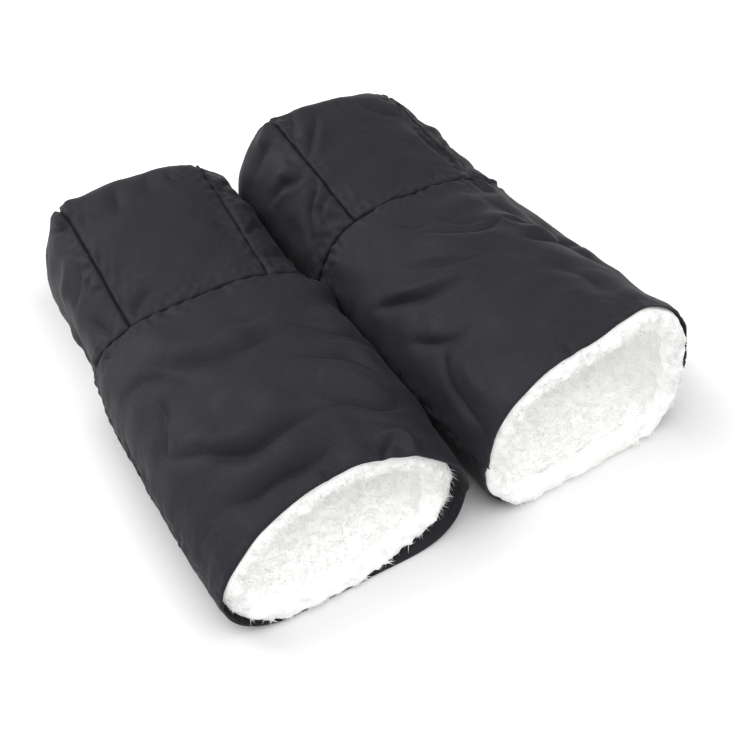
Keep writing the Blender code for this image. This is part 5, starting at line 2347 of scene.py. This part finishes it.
def turned_mesh(name: str, profile: list[tuple[float, float]], steps: int) -> bpy.types.Mesh:
    """Turns a profile round +Z into a closed mesh.

    Args:
        name: The mesh's name.
        profile: Radii and levels, from the middle of the top to the middle of the bottom.
        steps: How many steps round.

    Returns:
        The mesh, with its faces pointing out.
    """
    turns = np.linspace(0.0, math.tau, steps, endpoint=False)
    points = [(0.0, 0.0, profile[0][1])]
    for radius, level in profile[1:-1]:
        points += [(radius * math.cos(turn), radius * math.sin(turn), level) for turn in turns]
    points.append((0.0, 0.0, profile[-1][1]))
    rings = len(profile) - 2
    faces = []
    for k in range(steps):
        after = (k + 1) % steps
        faces.append((0, 1 + k, 1 + after))
        for ring in range(rings - 1):
            near, far = 1 + ring * steps, 1 + (ring + 1) * steps
            faces.append((near + k, far + k, far + after, near + after))
        last = 1 + (rings - 1) * steps
        faces.append((last + after, last + k, len(points) - 1))
    mesh = bpy.data.meshes.new(name)
    mesh.from_pydata(points, [], faces)
    return mesh


def cap_profile(flap: FlapSizes) -> list[tuple[float, float]]:
    """The stud's cap: a low dome with a dished middle and a rolled edge, its face down."""
    r, t = flap.cap_radius, flap.cap_thickness
    return [
        (0.0, t), (r * 0.90, t), (r * 0.98, t * 0.86), (r, t * 0.6), (r * 0.98, t * 0.34),
        (r * 0.92, t * 0.12), (r * 0.80, 0.0), (r * 0.66, t * 0.05), (r * 0.60, t * 0.20),
        (r * 0.50, t * 0.24), (r * 0.25, t * 0.20), (0.0, t * 0.18),
    ]


def socket_profile(flap: FlapSizes, level: float) -> list[tuple[float, float]]:
    """The stud's socket: a turned ring with a rolled lip round its bore."""
    r, bore, t = flap.socket_radius, flap.socket_bore, flap.socket_thickness
    floor = level + t * 0.31
    top = level + t
    return [
        (0.0, floor), (bore * 0.98, floor), (bore, floor + t * 0.06), (bore, top - t * 0.12),
        (bore * 1.06, top - t * 0.03), (bore * 1.25, top), (bore * 1.5, top - t * 0.05),
        (bore * 1.62, top - t * 0.35), (r * 0.86, top - t * 0.38), (r * 0.96, top - t * 0.48),
        (r, top - t * 0.62), (r * 0.98, level + t * 0.06), (r * 0.94, level), (0.0, level),
    ]


def post_profile(flap: FlapSizes, level: float, tip: float) -> list[tuple[float, float]]:
    """The stud's post: a round flange under the body and a necked post that seats in the socket."""
    r, post, t = flap.post_flange_radius, flap.post_radius, flap.post_flange_thickness
    tip = tip + flap.socket_thickness * 0.31
    bulb = (level + tip) / 2
    return [
        (0.0, level + t), (r * 0.95, level + t), (r, level + t * 0.75), (r, level + t * 0.3),
        (r * 0.95, level), (post * 1.3, level), (post * 0.86, level - t * 0.18),
        (post * 0.86, bulb + t * 0.2), (post, bulb), (post * 0.92, tip + t * 0.12), (post * 0.7, tip),
        (0.0, tip),
    ]


@dataclass
class HemTrim:
    """The thin trim of one muff: piping along the free hems and the roll at the flap's fold.

    The shares say how much of its radius each cord is sunk into the cloth.
    """

    form: MuffForm
    seat: Seat
    finishes: Finishes
    shell: ShellPanels
    piping_radius: float = 0.0011
    side_sink: float = 0.4
    under_sink: float = 0.6
    roll_radius: float = 0.0013
    roll_sink: float = 0.35
    roll_inset: float = 0.005
    roll_rings: int = 40

    def cord(self, name: str, line: np.ndarray, up: np.ndarray, radius: float) -> bpy.types.Object:
        """A cord of folded cloth along a hem or a fold.

        Args:
            name: What the piece is called.
            line: The hem, in the muff's own frame.
            up: The cloth's outward direction along it.
            radius: The cord's radius.

        Returns:
            The piece.
        """
        name, up = f"{self.form.name}_{name}", up @ np.array(self.seat.turn).T
        piece = tube(name, self.seat.place(line), radius, radius, up, self.finishes.shell)
        write_attribute(piece, "seam_shade", np.zeros(len(piece.data.vertices)))
        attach(piece, f"{self.form.name}_muff")
        return piece

    def build(self) -> list[bpy.types.Object]:
        """Builds the trim and returns the pieces."""
        pieces = []
        radius = self.piping_radius
        for panel, name in ((Panel.RIGHT_GUSSET, "right_hem_piping"), (Panel.LEFT_GUSSET, "left_hem_piping")):
            patch = self.shell.patches[panel]
            line = patch.points[:, -1] - patch.normals[:, -1] * radius * self.side_sink
            pieces.append(self.cord(name, line, patch.normals[:, -1], radius))
        under = self.shell.patches[Panel.BODY_UNDER]
        line = under.points[-1] - under.normals[-1] * radius * self.under_sink
        pieces.append(self.cord("under_hem_piping", line, under.normals[-1], radius))
        roll = self.fold_line()
        up = np.broadcast_to(np.array([0.0, 0.0, 1.0]), roll.shape)
        pieces.append(self.cord("flap_fold_roll", roll, up, self.roll_radius))
        return pieces

    def fold_line(self) -> np.ndarray:
        """The middle of the roll of cloth at the flap's fold."""
        size = self.form.sizes
        half = size.half_strip - self.roll_inset
        across = np.linspace(-half, half, self.roll_rings)
        place = size.hinge_place - size.clearance / 2 - self.roll_radius * self.roll_sink
        level = size.hinge_height - size.clearance / 2
        return np.stack([across, np.full_like(across, place), np.full_like(across, level)], axis=-1)


@dataclass
class Muff:
    """One whole muff of the pair."""

    shell: ShellPanels

    def build(self) -> list[bpy.types.Object]:
        """Builds every sub-assembly in order, and returns the pieces."""
        shell = self.shell
        parts = (shell.form, shell.seat, shell.finishes)
        pieces = shell.build()
        pieces += FleeceLining(*parts, shell, shell.seed + 20).build()
        pieces += ClosureFlap(*parts).build()
        pieces += HemTrim(*parts, shell).build()
        return pieces


@dataclass(frozen=True)
class SoftLamp:
    """A square soft lamp: where it hangs, what it points at, its side and its power in watts."""

    name: str
    place: tuple[float, float, float]
    aim: tuple[float, float, float]
    size: float
    power: float

    def hang(self) -> None:
        """Hangs the lamp in the scene."""
        data = bpy.data.lights.new(self.name, "AREA")
        data.shape = "SQUARE"
        data.size = self.size
        data.energy = self.power
        lamp = bpy.data.objects.new(self.name, data)
        bpy.context.scene.collection.objects.link(lamp)
        lamp.location = self.place
        lamp.rotation_euler = (Vector(self.aim) - Vector(self.place)).to_track_quat("-Z", "Y").to_euler()


LAMPS = (
    SoftLamp("key", (-0.75, 0.85, 1.05), (0.0, 0.0, 0.05), 0.8, 12.8),
    SoftLamp("fill", (0.05, -0.75, 1.40), (0.0, -0.1, 0.05), 1.5, 15.0),
)


@dataclass(frozen=True)
class Studio:
    """The white floor, the soft overhead light and the camera."""

    floor_size: float = 6.0
    floor_depth: float = 0.01
    floor_gap: float = 0.00005
    world_strength: float = 0.37
    camera_height: float = 0.7446
    camera_back: float = 0.4786
    camera_heading: float = 30.6
    camera_side: float = 0.0199
    camera_pitch: float = 47.97
    lens: float = 57.6
    sensor: float = 36.0

    def floor(self) -> None:
        """Lays the floor, a closed slab of white card just below the muffs."""
        half, depth = self.floor_size / 2, self.floor_depth
        low = [(-half, -half, -depth), (half, -half, -depth), (half, half, -depth), (-half, half, -depth)]
        high = [(x, y, -self.floor_gap) for x, y, _ in low]
        faces = [(3, 2, 1, 0), (4, 5, 6, 7), (0, 1, 5, 4), (1, 2, 6, 5), (2, 3, 7, 6), (3, 0, 4, 7)]
        slab = mesh_object("floor", np.array(low + high), faces, StudioFloor().make())
        slab.data.shade_flat()

    def world(self) -> None:
        """A level white surround that the camera sees as plain white."""
        world = bpy.data.worlds.new("white_surround")
        world.use_nodes = True
        bpy.context.scene.world = world
        world.node_tree.nodes.clear()
        add = partial(add_node, world.node_tree)
        path = add("ShaderNodeLightPath")
        seen = add(
            "ShaderNodeMath", {0: path.outputs["Is Camera Ray"], 1: path.outputs["Is Transmission Ray"]},
            operation="ADD", use_clamp=True,
        )
        strength = add("ShaderNodeMapRange", {"Value": seen, "To Min": self.world_strength, "To Max": 1.0})
        light = add("ShaderNodeBackground", {"Color": (1.0, 1.0, 1.0, 1.0), "Strength": strength})
        add("ShaderNodeOutputWorld", {0: light})

    def camera(self, mouth: Vector) -> None:
        """Sets up the camera, at the height, distance and angle that it has to the left muff's mouth.

        Args:
            mouth: The middle of the left muff's mouth, on the floor.
        """
        data = bpy.data.cameras.new("camera")
        data.lens = self.lens
        data.sensor_width = self.sensor
        data.clip_start = 0.01
        camera = bpy.data.objects.new("camera", data)
        bpy.context.scene.collection.objects.link(camera)
        heading = math.radians(self.camera_heading)
        ahead = Vector((math.sin(heading), math.cos(heading), 0.0))
        aside = Vector((ahead.y, -ahead.x, 0.0))
        place = mouth - ahead * self.camera_back + aside * self.camera_side
        camera.location = (place.x, place.y, self.camera_height)
        pitch = math.radians(self.camera_pitch)
        look = ahead * math.cos(pitch) - Vector((0.0, 0.0, 1.0)) * math.sin(pitch)
        camera.rotation_euler = look.to_track_quat("-Z", "Y").to_euler()
        bpy.context.scene.camera = camera

    def build(self, mouth: Vector) -> None:
        """Sets the studio up.

        Args:
            mouth: The middle of the left muff's mouth, on the floor.
        """
        self.floor()
        self.world()
        for lamp in LAMPS:
            lamp.hang()
        self.camera(mouth)
        bpy.context.scene.view_settings.view_transform = "Standard"


def shares(percents: tuple[tuple[int, int], ...]) -> tuple[tuple[float, float], ...]:
    """Places in percent across and along a panel, as shares of it."""
    return tuple((across / 100, along / 100) for across, along in percents)


def valley(*percents: tuple[int, int], depth: float = 0.0026, width: float = 0.0075) -> Fold:
    """A soft hollow along a line of places."""
    return Fold(shares(percents), depth, width, ridge=0.25)


def hollow(*percents: tuple[int, int], depth: float = 0.0016, width: float = 0.0240) -> Fold:
    """A wide hollow along a line of places, with nothing standing up beside it."""
    return Fold(shares(percents), depth, width, ridge=0.0)


def crease(*percents: tuple[int, int], depth: float = 0.0024, width: float = 0.0032) -> Fold:
    """A crisp crease along a line of places."""
    return Fold(shares(percents), depth, width, ridge=0.5)


def puff(*percents: tuple[int, int], depth: float = 0.0028, width: float = 0.0095) -> Fold:
    """A soft swelling along a line of places."""
    return Fold(shares(percents), -depth, width, ridge=0.0)


LEFT_FOLDS: dict[Panel, tuple[Fold, ...]] = {
    Panel.BODY_UPPER: (
        valley((75, 81), (69, 73), (62, 68), (52, 65), (46, 66), (37, 67), depth=0.0032),
        puff((72, 84), (59, 74), (43, 71), (35, 73)),
        valley((86, 76), (79, 75), (73, 70), (68, 63), depth=0.0022, width=0.0055),
        valley((78, 65), (79, 58), (80, 53), depth=0.0018),
        valley((47, 78), (42, 77), (36, 78), depth=0.0016),
        puff((25, 75), (20, 68), (14, 64), depth=0.0026, width=0.0075),
        crease((34, 68), (28, 65), (23, 61), (18, 59), (9, 54), depth=0.0030, width=0.0042),
        puff((33, 58), (28, 54), (23, 52), (16, 46), depth=0.0026, width=0.0070),
        valley((41, 55), (33, 51), (25, 47), (21, 42), (16, 34), depth=0.0030, width=0.0055),
        puff((38, 45), (31, 39), (26, 32), (20, 26), depth=0.0040, width=0.0085),
        crease((20, 23), (29, 22), (34, 27), (40, 33), depth=0.0036, width=0.0048),
        valley(
            (34, 25), (42, 30), (50, 30), (58, 28), (65, 27), (70, 30), (76, 37), (84, 43),
            depth=0.0048, width=0.0070,
        ),
        puff((81, 46), (74, 41), (66, 35), (57, 36), (47, 40), depth=0.0028),
        valley((79, 15), (72, 10), (63, 9), (55, 7), (46, 10), depth=0.0040, width=0.0070),
        puff((77, 23), (65, 18), (54, 18), (44, 20), depth=0.0030),
        crease((35, 10), (30, 10), (25, 8), (20, 6), depth=0.0020),
        crease((33, 15), (27, 12), (21, 10), depth=0.0018),
        crease((31, 6), (34, 3), (37, 0), depth=0.0030, width=0.0034),
        puff((35, 8), (30, 8), (27, 5), (27, 0), depth=0.0036, width=0.0046),
        puff((46, 2), (41, 4), (38, 4), depth=0.0024, width=0.0052),
        crease((53, 3), (53, 0), depth=0.0022),
        valley((79, 62), (82, 53), (85, 46), (83, 42), depth=0.0024, width=0.0060),
        puff((16, 93), (8, 90), (0, 88), depth=0.0048, width=0.0110),
        crease((43, 100), (43, 95), depth=0.0016),
        crease((68, 100), (68, 95), depth=0.0014),
        crease((87, 98), (84, 94), depth=0.0018),
    ),
    Panel.CAP_STRIP: (
        crease((26, 52), (24, 47), (19, 45), depth=0.0022, width=0.0045),
        valley((95, 3), (86, 7), (77, 9), depth=0.0026, width=0.0065),
        valley((15, 26), (9, 23), (4, 21), depth=0.0020, width=0.0055),
        valley((63, 54), (67, 46), (69, 42), depth=0.0020),
        valley((35, 62), (42, 50), (44, 40), depth=0.0016, width=0.0100),
        puff((99, 66), (96, 58), (95, 50), depth=0.0030, width=0.0090),
    ),
    Panel.LEFT_GUSSET: (
        puff((6, 74), (6, 66), (3, 58), depth=0.0030, width=0.0090),
        valley((84, 32), (90, 18), (93, 4), depth=0.0030, width=0.0150),
        valley((34, 68), (52, 62), (68, 56), depth=0.0024, width=0.0120),
        crease((24, 65), (10, 57), (0, 54), depth=0.0024, width=0.0040),
        crease((17, 35), (0, 32), depth=0.0024, width=0.0038),
        crease((12, 23), (0, 21), depth=0.0020),
        valley((12, 40), (28, 31), (47, 25), depth=0.0028, width=0.0050),
        crease((10, 30), (24, 25), depth=0.0022),
        valley((36, 14), (28, 6), (22, 2), depth=0.0034, width=0.0060),
        puff((20, 46), (40, 38), (60, 34), depth=0.0022, width=0.0070),
    ),
    Panel.RIGHT_GUSSET: (
        crease((6, 21), (24, 27), (45, 30), depth=0.0024, width=0.0042),
        valley((2, 43), (24, 54), (50, 60), depth=0.0026, width=0.0055),
        puff((5, 34), (30, 40), (60, 44), depth=0.0020, width=0.0070),
        valley((10, 10), (35, 12), (65, 16), depth=0.0022, width=0.0060),
        valley((3, 65), (15, 63), (26, 59), depth=0.0026, width=0.0140),
    ),
}
RIGHT_FOLDS: dict[Panel, tuple[Fold, ...]] = {
    Panel.BODY_UPPER: (
        valley((64, 87), (60, 82), (56, 80), depth=0.0022, width=0.0042),
        valley((60, 77), (52, 70), (44, 67), (36, 70), depth=0.0032, width=0.0052),
        valley((53, 81), (48, 73), (40, 71), depth=0.0018),
        puff((63, 78), (57, 68), (50, 64), (42, 63), depth=0.0022),
        valley((71, 69), (66, 64), (60, 59), (52, 55), depth=0.0038, width=0.0050),
        puff((83, 69), (75, 59), (66, 54), (59, 52), depth=0.0028, width=0.0070),
        crease((87, 67), (80, 59), (75, 54), (69, 51), (60, 49), depth=0.0036, width=0.0044),
        valley((86, 46), (80, 36), (75, 32), (71, 33), depth=0.0034, width=0.0056),
        crease((81, 33), (86, 24), (88, 15), (89, 4), depth=0.0036, width=0.0055),
        puff((78, 27), (80, 19), (82, 8), depth=0.0030, width=0.0090),
        hollow((22, 99), (20, 84), (22, 68), (22, 50)),
        crease((36, 71), (33, 67), (28, 65), depth=0.0022, width=0.0042),
        puff((36, 62), (31, 60), (26, 60), depth=0.0016, width=0.0060),
        valley((42, 44), (38, 32), (35, 18), depth=0.0018, width=0.0150),
        puff((27, 10), (20, 4), (15, 0), depth=0.0012, width=0.0120),
        valley((20, 98), (20, 84), (22, 68), (22, 52), depth=0.0020, width=0.0160),
        valley((18, 70), (24, 50), (22, 30), depth=0.0026, width=0.0100),
        valley((38, 56), (31, 54), (18, 50), depth=0.0050, width=0.0085),
        valley((33, 86), (29, 74), (27, 60), depth=0.0022, width=0.0140),
        crease((27, 99), (25, 90), depth=0.0050, width=0.0065),
        crease((60, 0), (58, 5), depth=0.0024, width=0.0045),
        crease((30, 100), (29, 95), depth=0.0018),
        crease((55, 100), (56, 96), depth=0.0014),
    ),
    Panel.CAP_STRIP: (
        crease((72, 45), (84, 38), (93, 33), (100, 30), depth=0.0034, width=0.0046),
        valley((85, 52), (92, 44), (100, 40), depth=0.0022, width=0.0050),
        valley((33, 46), (24, 41), (9, 37), depth=0.0018, width=0.0055),
        valley((45, 60), (50, 48), (52, 38), depth=0.0016, width=0.0100),
        valley((8, 32), (5, 22), (3, 10), depth=0.0032, width=0.0110),
        valley((96, 61), (80, 60), (62, 59), (46, 58), depth=0.0028, width=0.0170),
        crease((27, 6), (31, 2), depth=0.0014),
    ),
    Panel.LEFT_GUSSET: (
        crease((0, 32), (15, 31), (34, 35), (52, 37), depth=0.0036, width=0.0048),
        crease((0, 28), (12, 22), (32, 17), (50, 11), depth=0.0042, width=0.0046),
        valley((12, 51), (26, 52), (45, 50), depth=0.0024, width=0.0050),
        crease((0, 17), (18, 14), (32, 10), depth=0.0026, width=0.0040),
        crease((0, 3), (10, 6), (24, 8), depth=0.0028, width=0.0042),
        puff((22, 57), (8, 56), depth=0.0024, width=0.0060),
        puff((28, 36), (10, 38), depth=0.0026, width=0.0065),
        puff((18, 20), (12, 12), (30, 8), depth=0.0022, width=0.0055),
    ),
    Panel.RIGHT_GUSSET: (
        crease((6, 25), (26, 29), (48, 30), depth=0.0022, width=0.0042),
        valley((4, 48), (26, 52), (55, 50), depth=0.0024, width=0.0060),
        puff((10, 36), (34, 40), (60, 40), depth=0.0020, width=0.0070),
        valley((10, 10), (40, 14), (70, 14), depth=0.0022, width=0.0060),
        valley((18, 40), (18, 28), (16, 16), (14, 2), depth=0.0020, width=0.0150),
    ),
}


def main() -> None:
    """Loads the frame, builds both muffs and the studio, and reports each piece."""
    logging.basicConfig(level=logging.INFO, format="%(name)s: %(message)s")
    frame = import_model()
    hinges = {joint["name"]: joint for joint in frame["joints"]}
    finishes = Finishes.make()
    left_seat = Seat.from_hinge(hinges["left_flap_hinge"])
    right_seat = Seat.from_hinge(hinges["right_flap_hinge"])
    shells = [
        ShellPanels(LEFT_FORM, left_seat, finishes, LEFT_FOLDS, seed=11),
        ShellPanels(RIGHT_FORM, right_seat, finishes, RIGHT_FOLDS, seed=57),
    ]
    SlackCloth().settle(shells)
    for shell in shells:
        for piece in Muff(shell).build():
            LOG.info("%s: %d faces", piece.name, len(piece.data.polygons))
    Studio().build(left_seat.origin)


if __name__ == "__main__":
    main()
